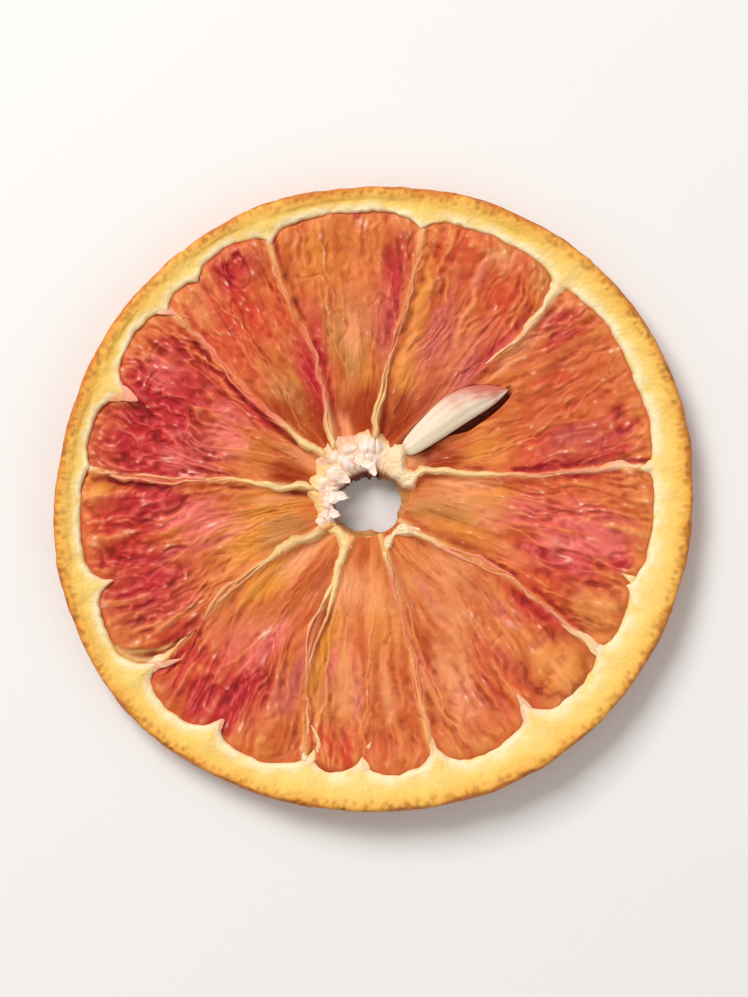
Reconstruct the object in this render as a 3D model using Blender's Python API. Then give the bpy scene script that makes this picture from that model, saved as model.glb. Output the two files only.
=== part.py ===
"""A dried slice of blood orange, cut straight across the fruit and lying flat.

The slice is one closed body with a hole where its core was. It is lofted from closed
rings of points. The rings start on the wall of the hole, run outward over the cut face,
down the rind and back along the underside to the hole. Each ring follows the plan of the
slice, which is its rim, its hole and its ten membranes, and takes its height from the
zone that it lies in: core pith, flesh, pith or rind.

Plan angles are in degrees, counter-clockwise from +X, about the core of the fruit.
Heights are measured from the middle of the slice's thickness until the slice is set down.
"""

from dataclasses import dataclass

import bmesh
import bpy
import numpy as np

MM = 0.001

# ---- Plan, in millimetres and degrees ---------------------------------------------------

RIM_RADIUS = 30.7
# Waves in the rim, as (waves round, height, angle of a crest).
RIM_WAVES = ((1, 0.41, 33), (2, 0.50, 26), (3, 0.15, 95), (4, 0.24, 37))

# The band of rind and pith is wider on one side, because the cut missed the fruit's axis.
BAND_WIDTH = 2.85
BAND_SWING = 0.75
BAND_WIDEST = 325

# The hole and the core pith round it, as (angle, radius) where each bends.
HOLE_BENDS = (
    (0, 3.9), (60, 2.95), (100, 2.9), (145, 2.95), (195, 3.8), (255, 3.6), (305, 3.45), (335, 3.4),
)
CORE_BENDS = ((0, 4.8), (25, 5.3), (100, 7.2), (155, 6.6), (190, 5.8), (230, 4.9), (285, 4.3), (330, 4.3))

# Membranes are drawn between these two radii and run straight on past them.
MEMBRANE_START = 6.0
MEMBRANE_END = 28.0
MEMBRANE_HALF_WIDTH = 0.45


@dataclass(frozen=True)
class Membrane:
    """A wall between two segments of the fruit.

    heading: angle that it points to far from the core.
    offset: how far its line passes from the core's centre.
    bend, wobble: angles of its single and its double curve.
    notch: how deep it cuts the flesh's outer edge.
    """

    heading: float
    offset: float
    bend: float
    wobble: float
    notch: float


MEMBRANES = (
    Membrane(heading=0.9, offset=2.95, bend=-1.8, wobble=-1.2, notch=1.0),
    Membrane(heading=44.1, offset=2.45, bend=-2.5, wobble=0.9, notch=1.4),
    Membrane(heading=77.5, offset=1.0, bend=0.0, wobble=1.1, notch=1.2),
    Membrane(heading=107.2, offset=1.75, bend=-2.0, wobble=-2.0, notch=1.5),
    Membrane(heading=137.1, offset=-0.2, bend=1.4, wobble=1.3, notch=1.2),
    Membrane(heading=174.4, offset=-0.75, bend=0.9, wobble=-0.9, notch=0.7),
    Membrane(heading=219.2, offset=-1.1, bend=-2.6, wobble=-2.3, notch=2.8),
    Membrane(heading=260.6, offset=-1.85, bend=-5.1, wobble=-1.4, notch=2.1),
    Membrane(heading=284.0, offset=0.35, bend=-0.3, wobble=0.7, notch=2.4),
    Membrane(heading=326.8, offset=0.15, bend=3.3, wobble=1.5, notch=1.6),
)

# Tongues of pith that reach in between the lobes of a segment, as (angle, depth).
TONGUES = ((128, 1.0), (156, 2.5), (197, 2.3), (235.5, 2.3), (268, 1.9), (307, 2.7), (342, 1.1))
NOTCH_HALF_ANGLE = 2.2

# ---- Heights above and below the middle of the thickness, in millimetres -----------------

HOLE_EDGE = 0.85
CORE_RISE = 1.4
CORE_FOOT = 1.05
FLESH_TOP = 0.95
FLESH_UNDER = 0.85
FLESH_SAG = 0.2
MEMBRANE_RISE = 0.3
CREVICE = 0.72
PITH_FOOT = 1.2
PITH_RISE = 1.5
RIND_INNER = 1.95
RIND_CREST = 2.0
RIND_SHOULDER = 1.7
RIND_WALL = 0.95

# ---- Where those heights lie in plan -----------------------------------------------------

# Shares of the way from the hole to the flesh, and from the flesh to the rim.
CORE_CREST_AT = 0.4
PITH_RISE_AT = 0.35
# Distances out from the flesh's edge, in from the rim, and how far the walls bulge.
PITH_FOOT_OUT = 0.25
RIND_INNER_IN = 1.15
RIND_CREST_IN = 0.55
RIND_SHOULDER_IN = 0.18
RIND_BULGE = 0.05
HOLE_BULGE = 0.12

# Drying bends the slice a little, as (waves round, rise at the rim, angle of a crest). The
# single wave tips it back until the three low spots of the triple wave are level.
WARP_WAVES = ((3, 0.45, 50), (2, 0.25, 110), (1, 0.25, 290))
DISH = 0.3
# How far the low spots are pressed flat where the slice rests.
REST_FLAT = 0.2

# ---- Counts ------------------------------------------------------------------------------

COLUMNS_PER_SEGMENT = 12
TOP_FLESH_STEPS = (0.06, 0.2, 0.36, 0.52, 0.68, 0.82, 0.93)
UNDER_FLESH_STEPS = (0.08, 0.3, 0.55, 0.78, 0.93)
SETTLING_TURNS = 6

FLESH_COLOUR = (0.52, 0.13, 0.045, 1.0)
FLESH_ROUGHNESS = 0.5


def waves(angle, terms):
    """The sum of cosines round the slice, each with its own count, height and crest angle."""
    return sum(height * np.cos(np.radians(count * (angle - crest))) for count, height, crest in terms)


def turned(angle):
    """The angle brought between -180 and 180 degrees."""
    return (angle + 180.0) % 360.0 - 180.0


def rim_radius(angle):
    """Distance from the core to the outside of the rind."""
    return RIM_RADIUS + waves(angle, RIM_WAVES)


def through_bends(angle, bends):
    """A radius that passes through the bends, in a straight run from each angle to the next."""
    at, radius = np.array(bends, float).T
    return np.interp(np.mod(angle, 360.0), at, radius, period=360.0)


def membrane_angle(membrane, radius):
    """Angle of a membrane at a radius: a straight line that misses the core, plus two curves."""
    radius = np.maximum(radius, MEMBRANE_START)
    along = np.minimum((radius - MEMBRANE_START) / (MEMBRANE_END - MEMBRANE_START), 1.0)
    straight = membrane.heading + np.degrees(np.arcsin(membrane.offset / radius))
    return straight + membrane.bend * np.sin(np.pi * along) + membrane.wobble * np.sin(2 * np.pi * along)


def flesh_radius(angle):
    """Outer edge of the flesh: inside the band of rind and pith, with a notch for each
    membrane and tongue that narrows exponentially to its tip."""
    band = BAND_WIDTH + BAND_SWING * np.cos(np.radians(angle - BAND_WIDEST))
    ends = [(membrane_angle(wall, MEMBRANE_END), wall.notch) for wall in MEMBRANES]
    cut = sum(
        depth * np.exp(-np.abs(turned(angle - at)) / NOTCH_HALF_ANGLE)
        for at, depth in (*ends, *TONGUES)
    )
    return rim_radius(angle) - band - cut


def segment_fractions(segment):
    """Places of the columns across one segment, from 0 at its first membrane to 1 at the
    next. The column nearest to a tongue of pith moves onto it."""
    fractions = np.linspace(0.0, 1.0, COLUMNS_PER_SEGMENT - 1)
    first = membrane_angle(MEMBRANES[segment], MEMBRANE_END)
    following = membrane_angle(MEMBRANES[(segment + 1) % len(MEMBRANES)], MEMBRANE_END)
    for at, _ in TONGUES:
        place = ((at - first) % 360.0) / ((following - first) % 360.0)
        if place < 1.0:
            fractions[1 + np.argmin(np.abs(fractions[1:-1] - place))] = place
    return fractions


def column_angles(radius):
    """Angle of every column where it crosses the given radius, which is one value for each
    column. Each segment has a column on its first membrane and the rest beside and between."""
    angles = []
    for segment, wall in enumerate(MEMBRANES):
        own = slice(segment * COLUMNS_PER_SEGMENT, (segment + 1) * COLUMNS_PER_SEGMENT)
        at = radius[own]
        first = membrane_angle(wall, at)
        following = membrane_angle(MEMBRANES[(segment + 1) % len(MEMBRANES)], at)
        beside = np.degrees(MEMBRANE_HALF_WIDTH / at)
        width = (following - first) % 360.0 - 2 * beside
        fractions = np.concatenate([[0.0], segment_fractions(segment)])
        across = first + beside + fractions * width
        across[0] = first[0]
        angles.append(across)
    return np.concatenate(angles)


def on_membrane():
    """1 at the columns that run along a membrane, 0 at the others."""
    columns = np.zeros(COLUMNS_PER_SEGMENT * len(MEMBRANES))
    columns[::COLUMNS_PER_SEGMENT] = 1.0
    return columns


def between_membranes():
    """0 beside each membrane, rising to 1 in the middle of its segment."""
    across = [np.concatenate([[0.0], segment_fractions(s)]) for s in range(len(MEMBRANES))]
    return np.sin(np.pi * np.concatenate(across))


def ring(radius_at, height):
    """One closed ring of points.

    radius_at gives the radius for an array of angles. Columns bend, so the angle of a column
    depends on its radius: starting from the rim, the two are settled in a few turns.
    """
    radius = np.full(COLUMNS_PER_SEGMENT * len(MEMBRANES), MEMBRANE_END)
    for _ in range(SETTLING_TURNS):
        angle = column_angles(radius)
        radius = radius_at(angle)
    angle = np.radians(column_angles(radius))
    height = np.broadcast_to(height, radius.shape)
    return np.stack([radius * np.cos(angle), radius * np.sin(angle), height], axis=1)


def between(inner, outer, fraction):
    """A radius function that lies a fraction of the way from one to another."""
    return lambda angle: inner(angle) + fraction * (outer(angle) - inner(angle))


def outside(base, distance):
    """A radius function that lies a distance outside another."""
    return lambda angle: base(angle) + distance


def hole_radius(angle):
    """Radius of the hole."""
    return through_bends(angle, HOLE_BENDS)


def core_radius(angle):
    """Outer radius of the core pith."""
    return through_bends(angle, CORE_BENDS)


def face_rings(flesh_height, steps):
    """Rings of one cut face from the hole to the rim, with heights away from the middle."""
    rings = [
        ring(hole_radius, HOLE_EDGE),
        ring(between(hole_radius, core_radius, CORE_CREST_AT), CORE_RISE),
        ring(core_radius, CORE_FOOT),
    ]
    sag = FLESH_SAG * between_membranes()
    ridge = MEMBRANE_RISE * on_membrane()
    for step in steps:
        hollow = np.sin(np.pi * step)
        rings.append(ring(between(core_radius, flesh_radius, step), flesh_height - sag * hollow + ridge))
    rings += [
        ring(flesh_radius, CREVICE + (PITH_FOOT - CREVICE) * on_membrane()),
        ring(outside(flesh_radius, PITH_FOOT_OUT), PITH_FOOT),
        ring(between(flesh_radius, rim_radius, PITH_RISE_AT), PITH_RISE),
        ring(outside(rim_radius, -RIND_INNER_IN), RIND_INNER),
        ring(outside(rim_radius, -RIND_CREST_IN), RIND_CREST),
        ring(outside(rim_radius, -RIND_SHOULDER_IN), RIND_SHOULDER),
    ]
    return rings


def all_rings():
    """Every ring in order: up the hole, out over the face, down the rind, back underneath."""
    top = face_rings(FLESH_TOP, TOP_FLESH_STEPS)
    under = [points * (1.0, 1.0, -1.0) for points in face_rings(FLESH_UNDER, UNDER_FLESH_STEPS)]
    bulge = ring(outside(rim_radius, RIND_BULGE), 0.0)
    wall = [ring(rim_radius, RIND_WALL), bulge, ring(rim_radius, -RIND_WALL)]
    hole = [ring(outside(hole_radius, -HOLE_BULGE), 0.0)]
    return np.array([*top, *wall, *reversed(under), *hole])


def bent(points):
    """The points lifted by the warp, which grows with the square of the distance from the core."""
    x, y, z = np.moveaxis(points, -1, 0)
    angle = np.degrees(np.arctan2(y, x))
    share = (x * x + y * y) / RIM_RADIUS**2
    return np.stack([x, y, z + share * (DISH + waves(angle, WARP_WAVES))], axis=-1)


def set_down(points):
    """The points with the middle of their outline over the origin, and their lowest spots
    pressed flat on the plane z = 0."""
    low = points.min(axis=(0, 1))
    high = points.max(axis=(0, 1))
    points = points - ((low[0] + high[0]) / 2, (low[1] + high[1]) / 2, low[2] + REST_FLAT)
    points[..., 2] = np.maximum(points[..., 2], 0.0)
    return points


def lofted(rings):
    """A mesh of the rings joined one to the next, and the last to the first."""
    shape = bmesh.new()
    loops = [[shape.verts.new(point) for point in points] for points in rings]
    for near, far in zip(loops, loops[1:] + loops[:1]):
        for column, (near_here, far_here) in enumerate(zip(near, far)):
            ahead = (column + 1) % len(near)
            shape.faces.new((near_here, far_here, far[ahead], near[ahead]))
    bmesh.ops.recalc_face_normals(shape, faces=shape.faces)
    mesh = bpy.data.meshes.new("slice")
    shape.to_mesh(mesh)
    shape.free()
    mesh.shade_smooth()
    return mesh


def flesh_material():
    """Dried flesh: orange-red and faintly shiny."""
    material = bpy.data.materials.new("flesh")
    material.use_nodes = True
    surface = material.node_tree.nodes["Principled BSDF"]
    surface.inputs["Base Color"].default_value = FLESH_COLOUR
    surface.inputs["Roughness"].default_value = FLESH_ROUGHNESS
    surface.inputs["Metallic"].default_value = 0.0
    return material


def build_slice():
    """The whole slice, as one object."""
    mesh = lofted(set_down(bent(all_rings())) * MM)
    mesh.materials.append(flesh_material())
    piece = bpy.data.objects.new("slice", mesh)
    bpy.context.scene.collection.objects.link(piece)
    return piece


for leftover in list(bpy.data.objects):
    bpy.data.objects.remove(leftover, do_unlink=True)
build_slice()
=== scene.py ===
"""The looks of a dried slice of blood orange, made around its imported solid.

The slice is built in its own plan: polar places about the core of the fruit, in
millimetres and degrees, with heights from the middle of its thickness. Bed then warps a
finished surface as the slice is warped and sets it down where the solid lies, in metres.
"""

import logging
import math
from dataclasses import dataclass
from enum import Enum

import bpy
import numpy as np
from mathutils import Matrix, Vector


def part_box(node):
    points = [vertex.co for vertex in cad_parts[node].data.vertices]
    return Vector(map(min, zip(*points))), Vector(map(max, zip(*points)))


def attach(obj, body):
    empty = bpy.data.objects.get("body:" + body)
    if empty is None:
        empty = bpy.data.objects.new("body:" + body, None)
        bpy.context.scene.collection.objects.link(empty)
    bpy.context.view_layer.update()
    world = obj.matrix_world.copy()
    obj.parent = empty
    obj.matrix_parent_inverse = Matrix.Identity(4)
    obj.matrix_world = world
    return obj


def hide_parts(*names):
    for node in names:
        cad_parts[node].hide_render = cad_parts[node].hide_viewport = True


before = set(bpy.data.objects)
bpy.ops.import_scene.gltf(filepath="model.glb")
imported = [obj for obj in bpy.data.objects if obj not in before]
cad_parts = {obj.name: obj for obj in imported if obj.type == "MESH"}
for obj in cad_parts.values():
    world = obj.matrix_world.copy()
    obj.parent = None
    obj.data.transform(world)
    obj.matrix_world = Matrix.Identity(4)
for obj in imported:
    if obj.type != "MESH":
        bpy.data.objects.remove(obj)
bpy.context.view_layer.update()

MM = 0.001
LOG = logging.getLogger("slice")

# ---- Noise ----

# Large odd numbers that scatter bits: the first set for the axes, the second for stirring.
MIXERS = (0x9E3779B1, 0x85EBCA77, 0xC2B2AE3D)
STIRRERS = (0x2C1B3C6D, 0x297A2D39)
LOW_BITS = 0xFFFFFFFF


def hashed(seed: int, *lattice: np.ndarray) -> np.ndarray:
    """Repeatable random numbers for whole-number places.

    Each whole number is multiplied by a large odd number and folded into 32 bits, and the
    high bits are mixed back into the low ones twice.

    Args:
        seed: picks one of many unrelated patterns.
        lattice: whole-number coordinates, one array each.

    Returns:
        An array of numbers from 0 up to 1.
    """
    bits = np.uint64(LOW_BITS)
    shape = np.broadcast_shapes(*(axis.shape for axis in lattice))
    mixed = np.full(shape, seed * MIXERS[0] & LOW_BITS, np.uint64)
    for axis, mixer in zip(lattice, MIXERS):
        mixed = (mixed ^ (axis.astype(np.int64).astype(np.uint64) * np.uint64(mixer))) & bits
        mixed ^= mixed >> np.uint64(15)
        mixed = (mixed * np.uint64(STIRRERS[0])) & bits
        mixed ^= mixed >> np.uint64(12)
        mixed = (mixed * np.uint64(STIRRERS[1])) & bits
        mixed ^= mixed >> np.uint64(15)
    return mixed.astype(np.float64) / 2.0**32


def smooth(low: float, high: float, value: np.ndarray) -> np.ndarray:
    """0 below low and 1 above high, with 3t^2 - 2t^3 between them."""
    share = np.clip((value - low) / (high - low), 0.0, 1.0)
    return share * share * (3.0 - 2.0 * share)


def noise(x: np.ndarray, y: np.ndarray, seed: int, around: int = 0) -> np.ndarray:
    """Smooth noise: random numbers at whole places, blended by 3t^2 - 2t^3 between them.

    Args:
        x, y: places, one unit for each bump.
        seed: picks the pattern.
        around: the whole number after which x repeats, or 0.

    Returns:
        Values from -1 to 1.
    """
    column = np.floor(x)
    row = np.floor(y)
    along = x - column
    up = y - row
    along = along * along * (3.0 - 2.0 * along)
    up = up * up * (3.0 - 2.0 * up)
    following = column + 1
    if around:
        column = np.mod(column, around)
        following = np.mod(following, around)
    low = hashed(seed, column, row) * (1 - along) + hashed(seed, following, row) * along
    high = hashed(seed, column, row + 1) * (1 - along) + hashed(seed, following, row + 1) * along
    return 2.0 * (low * (1 - up) + high * up) - 1.0


def layered(x: np.ndarray, y: np.ndarray, seed: int, octaves: int = 3, around: int = 0) -> np.ndarray:
    """Noise added to itself at twice the fineness and half the height, octaves times."""
    total = np.zeros(np.broadcast_shapes(x.shape, y.shape))
    for octave in range(octaves):
        scale = 2**octave
        total += noise(x * scale, y * scale, seed + 31 * octave, around * scale) / scale
    return total


def ridge(value: np.ndarray, width: float) -> np.ndarray:
    """A rounded line along the places where the value is 0, as exp(-(value / width)^2)."""
    return np.exp(-((value / width) ** 2))


def crests(x: np.ndarray, y: np.ndarray, seed: int, sharp: float = 2.0) -> np.ndarray:
    """Sharp crests with hollow flanks along the places where noise is 0, as (1 - |noise|)^sharp."""
    return (1.0 - np.abs(noise(x, y, seed))) ** sharp


def softened(values: np.ndarray, times: int) -> np.ndarray:
    """A grid averaged with its neighbours, one part each beside two of its own, many times."""
    for _ in range(times):
        padded = np.pad(values, 1, mode="edge")
        rows = (padded[:-2, 1:-1] + 2.0 * values + padded[2:, 1:-1]) / 4.0
        padded = np.pad(rows, 1, mode="edge")
        values = (padded[1:-1, :-2] + 2.0 * rows + padded[1:-1, 2:]) / 4.0
    return values


def spline(controls: np.ndarray, count: int) -> np.ndarray:
    """A closed smooth curve that follows its control rows, as a cubic B-spline.

    Each point is an average of four neighbouring controls, weighted by (1-t)^3,
    3t^3 - 6t^2 + 4, -3t^3 + 3t^2 + 3t + 1 and t^3, all over 6.

    Args:
        controls: control values, one row each.
        count: how many rows to give back.

    Returns:
        The curve's rows.
    """
    place = np.linspace(0.0, len(controls), count, endpoint=False)
    first = np.floor(place).astype(int)
    t = (place - first)[:, None]
    weights = ((1 - t) ** 3, 3 * t**3 - 6 * t**2 + 4, -3 * t**3 + 3 * t**2 + 3 * t + 1, t**3)
    return sum(w * controls[(first + step - 1) % len(controls)] for step, w in enumerate(weights)) / 6.0


@dataclass
class Cells:
    """A pattern of cells: distance to the nearest centre, and a random tone for each cell."""

    near: np.ndarray
    tone: np.ndarray


def cells(x: np.ndarray, y: np.ndarray, seed: int, jitter: float = 0.8, around: int = 0) -> Cells:
    """Cells about centres that are jittered from a square lattice of unit step.

    For every place, the nine lattice squares about it are searched for the nearest centre.

    Args:
        x, y: places, one unit for each cell.
        seed: picks the pattern.
        jitter: how far a centre strays in its square, from 0 to 1.
        around: the whole number after which x repeats, or 0.

    Returns:
        The pattern.
    """
    column = np.floor(x)
    row = np.floor(y)
    near = np.full(x.shape, np.inf)
    tone = np.zeros(x.shape)
    for step_x in (-1, 0, 1):
        for step_y in (-1, 0, 1):
            there_x = column + step_x
            there_y = row + step_y
            key_x = np.mod(there_x, around) if around else there_x
            centre_x = there_x + 0.5 + jitter * (hashed(seed, key_x, there_y) - 0.5)
            centre_y = there_y + 0.5 + jitter * (hashed(seed + 1, key_x, there_y) - 0.5)
            distance = np.hypot(x - centre_x, y - centre_y)
            nearer = distance < near
            tone = np.where(nearer, hashed(seed + 2, key_x, there_y), tone)
            near = np.where(nearer, distance, near)
    return Cells(near, tone)


# ---- Plan of the slice ----


@dataclass(frozen=True)
class Membrane:
    """A wall between two segments of the fruit.

    heading: angle that it points to far from the core.
    offset: how far its line passes from the core's centre.
    bend, wobble: angles of its single and its double curve.
    notch: how deep it cuts the flesh's outer edge.
    split, split_at: how far its two skins part, and the radius where they part most.
    sunk_from, sunk_to: radii between which it is sunk out of sight.
    crease: depth of the crease beside it, on the side that comes next if positive.
    rosy: how pink it is along its middle.
    blush: the share of its length where the pink starts.
    amber: how golden it is.
    broad: its width against that of the others.
    creamy: how much paler and broader it is along its outer third.
    """

    heading: float
    offset: float
    bend: float
    wobble: float
    notch: float
    split: float = 0.0
    split_at: float = 15.0
    sunk_from: float = 0.0
    sunk_to: float = 0.0
    crease: float = 0.0
    rosy: float = 0.8
    blush: float = 0.2
    amber: float = 0.0
    broad: float = 1.0
    creamy: float = 0.0

    def sunk(self, radius: np.ndarray) -> np.ndarray:
        """1 where the membrane is sunk out of sight, 0 where it stands."""
        if self.sunk_to <= 0.0:
            return np.zeros(np.shape(radius))
        return smooth(self.sunk_from - 1.5, self.sunk_from + 1.0, radius) * smooth(
            self.sunk_to + 1.5, self.sunk_to - 1.0, radius
        )


def turned(angle: np.ndarray) -> np.ndarray:
    """The angle brought between -180 and 180 degrees."""
    return (angle + 180.0) % 360.0 - 180.0


@dataclass(frozen=True)
class Plan:
    """The slice seen from above: rim, band of rind and pith, membranes, core and hole.

    These are the driving dimensions of the solid, repeated, so that every piece made here
    lies where the solid has it.
    """

    rim: float = 30.7
    rim_waves: tuple = ((1, 0.41, 33), (2, 0.50, 26), (3, 0.15, 95), (4, 0.24, 37))
    rim_bulge: float = 0.05
    band: float = 2.85
    band_swing: float = 0.75
    band_widest: float = 325
    hole_bends: tuple = (
        (0, 3.9), (60, 2.95), (100, 2.9), (145, 2.95), (195, 3.8), (255, 3.6), (305, 3.45), (335, 3.4),
    )
    core_bends: tuple = (
        (0, 4.8), (25, 5.3), (100, 7.2), (155, 6.6), (190, 5.8), (230, 4.9), (285, 4.3), (330, 4.3),
    )
    membrane_start: float = 6.0
    membrane_end: float = 28.0
    membranes: tuple = (
        Membrane(
            heading=0.9, offset=2.95, bend=-1.8, wobble=-1.2, notch=1.0, crease=0.2, rosy=0.75, blush=0.3,
            broad=1.35, creamy=0.6,
        ),
        Membrane(
            heading=44.1, offset=2.45, bend=-2.5, wobble=0.9, notch=1.4, sunk_to=18.5, rosy=0.35, broad=1.3,
            creamy=0.75,
        ),
        Membrane(
            heading=77.5, offset=1.0, bend=0.0, wobble=1.1, notch=1.2, split=0.12, split_at=11.0,
            sunk_from=15.0, sunk_to=17.0, rosy=0.6, amber=0.25, broad=0.85,
        ),
        Membrane(
            heading=107.2, offset=1.75, bend=-2.0, wobble=-2.0, notch=1.5, sunk_from=18.0, sunk_to=19.0,
            crease=-0.12, rosy=1.0, blush=0.05,
        ),
        Membrane(
            heading=137.1, offset=-0.2, bend=1.4, wobble=1.3, notch=1.2, split=0.25, split_at=17.0,
            crease=0.25, rosy=1.0, blush=0.15, broad=1.3,
        ),
        Membrane(
            heading=174.4, offset=-0.75, bend=0.9, wobble=-0.9, notch=0.7, split=0.2, split_at=20.0,
            crease=0.25, rosy=0.75, blush=0.32, broad=1.2,
        ),
        Membrane(
            heading=219.2, offset=-1.1, bend=-2.6, wobble=-2.3, notch=2.8, split=0.25, split_at=16.0,
            sunk_from=19.0, sunk_to=24.5, rosy=0.6, blush=0.3, amber=0.45, broad=1.8,
        ),
        Membrane(
            heading=260.6, offset=-1.85, bend=-5.1, wobble=-1.4, notch=2.1, split=0.5, split_at=13.0,
            sunk_from=18.5, sunk_to=21.0, rosy=0.6, blush=0.25, broad=1.35,
        ),
        Membrane(
            heading=284.0, offset=0.35, bend=-0.3, wobble=0.7, notch=2.4, split=0.25, split_at=19.0,
            rosy=0.85, blush=0.0, broad=0.9,
        ),
        Membrane(
            heading=326.8, offset=0.15, bend=3.3, wobble=1.5, notch=1.6, split=0.3, split_at=12.0,
            crease=0.1, rosy=0.75, blush=0.05, broad=1.2,
        ),
    )
    tongues: tuple = ((128, 1.0), (156, 2.5), (197, 2.3), (235.5, 2.3), (268, 1.9), (307, 2.7), (342, 1.1))
    notch_half_angle: float = 2.2
    ragged: tuple = ((60, 0.14), (150, 0.1), (330, 0.05))

    def rim_radius(self, angle: np.ndarray) -> np.ndarray:
        """Distance from the core to the outside of the rind: a mean radius and its waves."""
        waves = sum(high * np.cos(np.radians(n * (angle - crest))) for n, high, crest in self.rim_waves)
        return self.rim + waves

    def hole_radius(self, angle: np.ndarray) -> np.ndarray:
        """Radius of the hole, in straight runs between its bends."""
        at, radius = np.array(self.hole_bends, float).T
        return np.interp(np.mod(angle, 360.0), at, radius, period=360.0)

    def core_radius(self, angle: np.ndarray) -> np.ndarray:
        """Outer radius of the core pith, in straight runs between its bends."""
        at, radius = np.array(self.core_bends, float).T
        return np.interp(np.mod(angle, 360.0), at, radius, period=360.0)

    def membrane_angle(self, membrane: Membrane, radius: np.ndarray) -> np.ndarray:
        """Angle of a membrane at a radius: a line that misses the core, plus two sine curves."""
        radius = np.maximum(radius, self.membrane_start)
        along = np.minimum((radius - self.membrane_start) / (self.membrane_end - self.membrane_start), 1.0)
        straight = membrane.heading + np.degrees(np.arcsin(membrane.offset / radius))
        curved = membrane.bend * np.sin(np.pi * along) + membrane.wobble * np.sin(2 * np.pi * along)
        return straight + curved

    def band_width(self, angle: np.ndarray) -> np.ndarray:
        """Width of rind and pith together: a mean and one wave round the slice."""
        return self.band + self.band_swing * np.cos(np.radians(angle - self.band_widest))

    def notch_ends(self) -> list:
        """Angle and depth of every notch in the flesh's outer edge."""
        end = np.array(self.membrane_end)
        walls = [(float(self.membrane_angle(wall, end)), wall.notch) for wall in self.membranes]
        return [*walls, *self.tongues]

    def notch_depth(self, angle: np.ndarray) -> np.ndarray:
        """How far pith reaches in past the band, narrowing exponentially to each tip."""
        return sum(
            depth * np.exp(-np.abs(turned(angle - at)) / self.notch_half_angle)
            for at, depth in self.notch_ends()
        )

    def flesh_radius(self, angle: np.ndarray) -> np.ndarray:
        """Outer edge of the flesh, between the tongues of pith, a little ragged."""
        turn = np.asarray(angle) / 360.0
        ragged = sum(
            high * noise(turn * count, turn * 0.0, 40 + count, count) for count, high in self.ragged
        )
        return self.rim_radius(angle) - self.band_width(angle) - self.notch_depth(angle) + ragged


@dataclass(frozen=True)
class Bed:
    """How the slice lies: its warp, and the move from its own plan to the frame.

    The warp lifts a point by the square of its distance from the core, times an
    even curl and waves round the slice.
    """

    warp_waves: tuple = ((3, 0.45, 50), (2, 0.25, 110), (1, 0.25, 290))
    curl: float = 0.3
    crest: float = 2.0
    crest_inset: float = 0.55
    steps: int = 1440

    def lift(self, x: np.ndarray, y: np.ndarray, plan: Plan) -> np.ndarray:
        """Height that the warp adds at a place in plan."""
        angle = np.degrees(np.arctan2(y, x))
        waves = sum(high * np.cos(np.radians(n * (angle - crest))) for n, high, crest in self.warp_waves)
        return (x * x + y * y) / plan.rim**2 * (self.curl + waves)

    def place(self, points: np.ndarray, plan: Plan) -> np.ndarray:
        """Points of the plan, warped and set down in the frame.

        The middle of the rim's box goes over the middle of the solid's box, and the top of
        the rind's crest goes to the solid's highest level.

        Args:
            points: an array of x, y, z in millimetres, in the last axis.
            plan: the slice's plan.

        Returns:
            The points in metres, none lower than the solid's base.
        """
        low, high = (np.array(corner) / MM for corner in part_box("slice"))
        angle = np.linspace(0.0, 360.0, self.steps, endpoint=False)
        turn = np.radians(angle)
        rim = plan.rim_radius(angle) + plan.rim_bulge
        rim_x, rim_y = rim * np.cos(turn), rim * np.sin(turn)
        crest = plan.rim_radius(angle) - self.crest_inset
        top = (self.crest + self.lift(crest * np.cos(turn), crest * np.sin(turn), plan)).max()
        x, y, z = np.moveaxis(points, -1, 0)
        placed = np.stack(
            [
                x + (low[0] + high[0]) / 2 - (rim_x.min() + rim_x.max()) / 2,
                y + (low[1] + high[1]) / 2 - (rim_y.min() + rim_y.max()) / 2,
                np.maximum(z + self.lift(x, y, plan) + high[2] - top, low[2]),
            ],
            axis=-1,
        )
        return placed * MM


PLAN = Plan()
BED = Bed()

# ---- Meshes ----


def polar(radius: np.ndarray, angle: np.ndarray, height: np.ndarray) -> np.ndarray:
    """Points from radius and height in millimetres and angle in degrees."""
    turn = np.radians(angle)
    return np.stack(np.broadcast_arrays(radius * np.cos(turn), radius * np.sin(turn), height), axis=-1)


def quads(index: np.ndarray, closed_rows: bool, closed_columns: bool) -> np.ndarray:
    """Faces between neighbouring places of a grid of vertex numbers.

    Args:
        index: vertex numbers, rows by columns.
        closed_rows: whether the last row joins the first.
        closed_columns: whether the last column joins the first.

    Returns:
        Four vertex numbers for each face.
    """
    if closed_rows:
        index = np.concatenate([index, index[:1]], axis=0)
    if closed_columns:
        index = np.concatenate([index, index[:, :1]], axis=1)
    corners = (index[:-1, :-1], index[1:, :-1], index[1:, 1:], index[:-1, 1:])
    return np.stack([corner.ravel() for corner in corners], axis=1)


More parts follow.
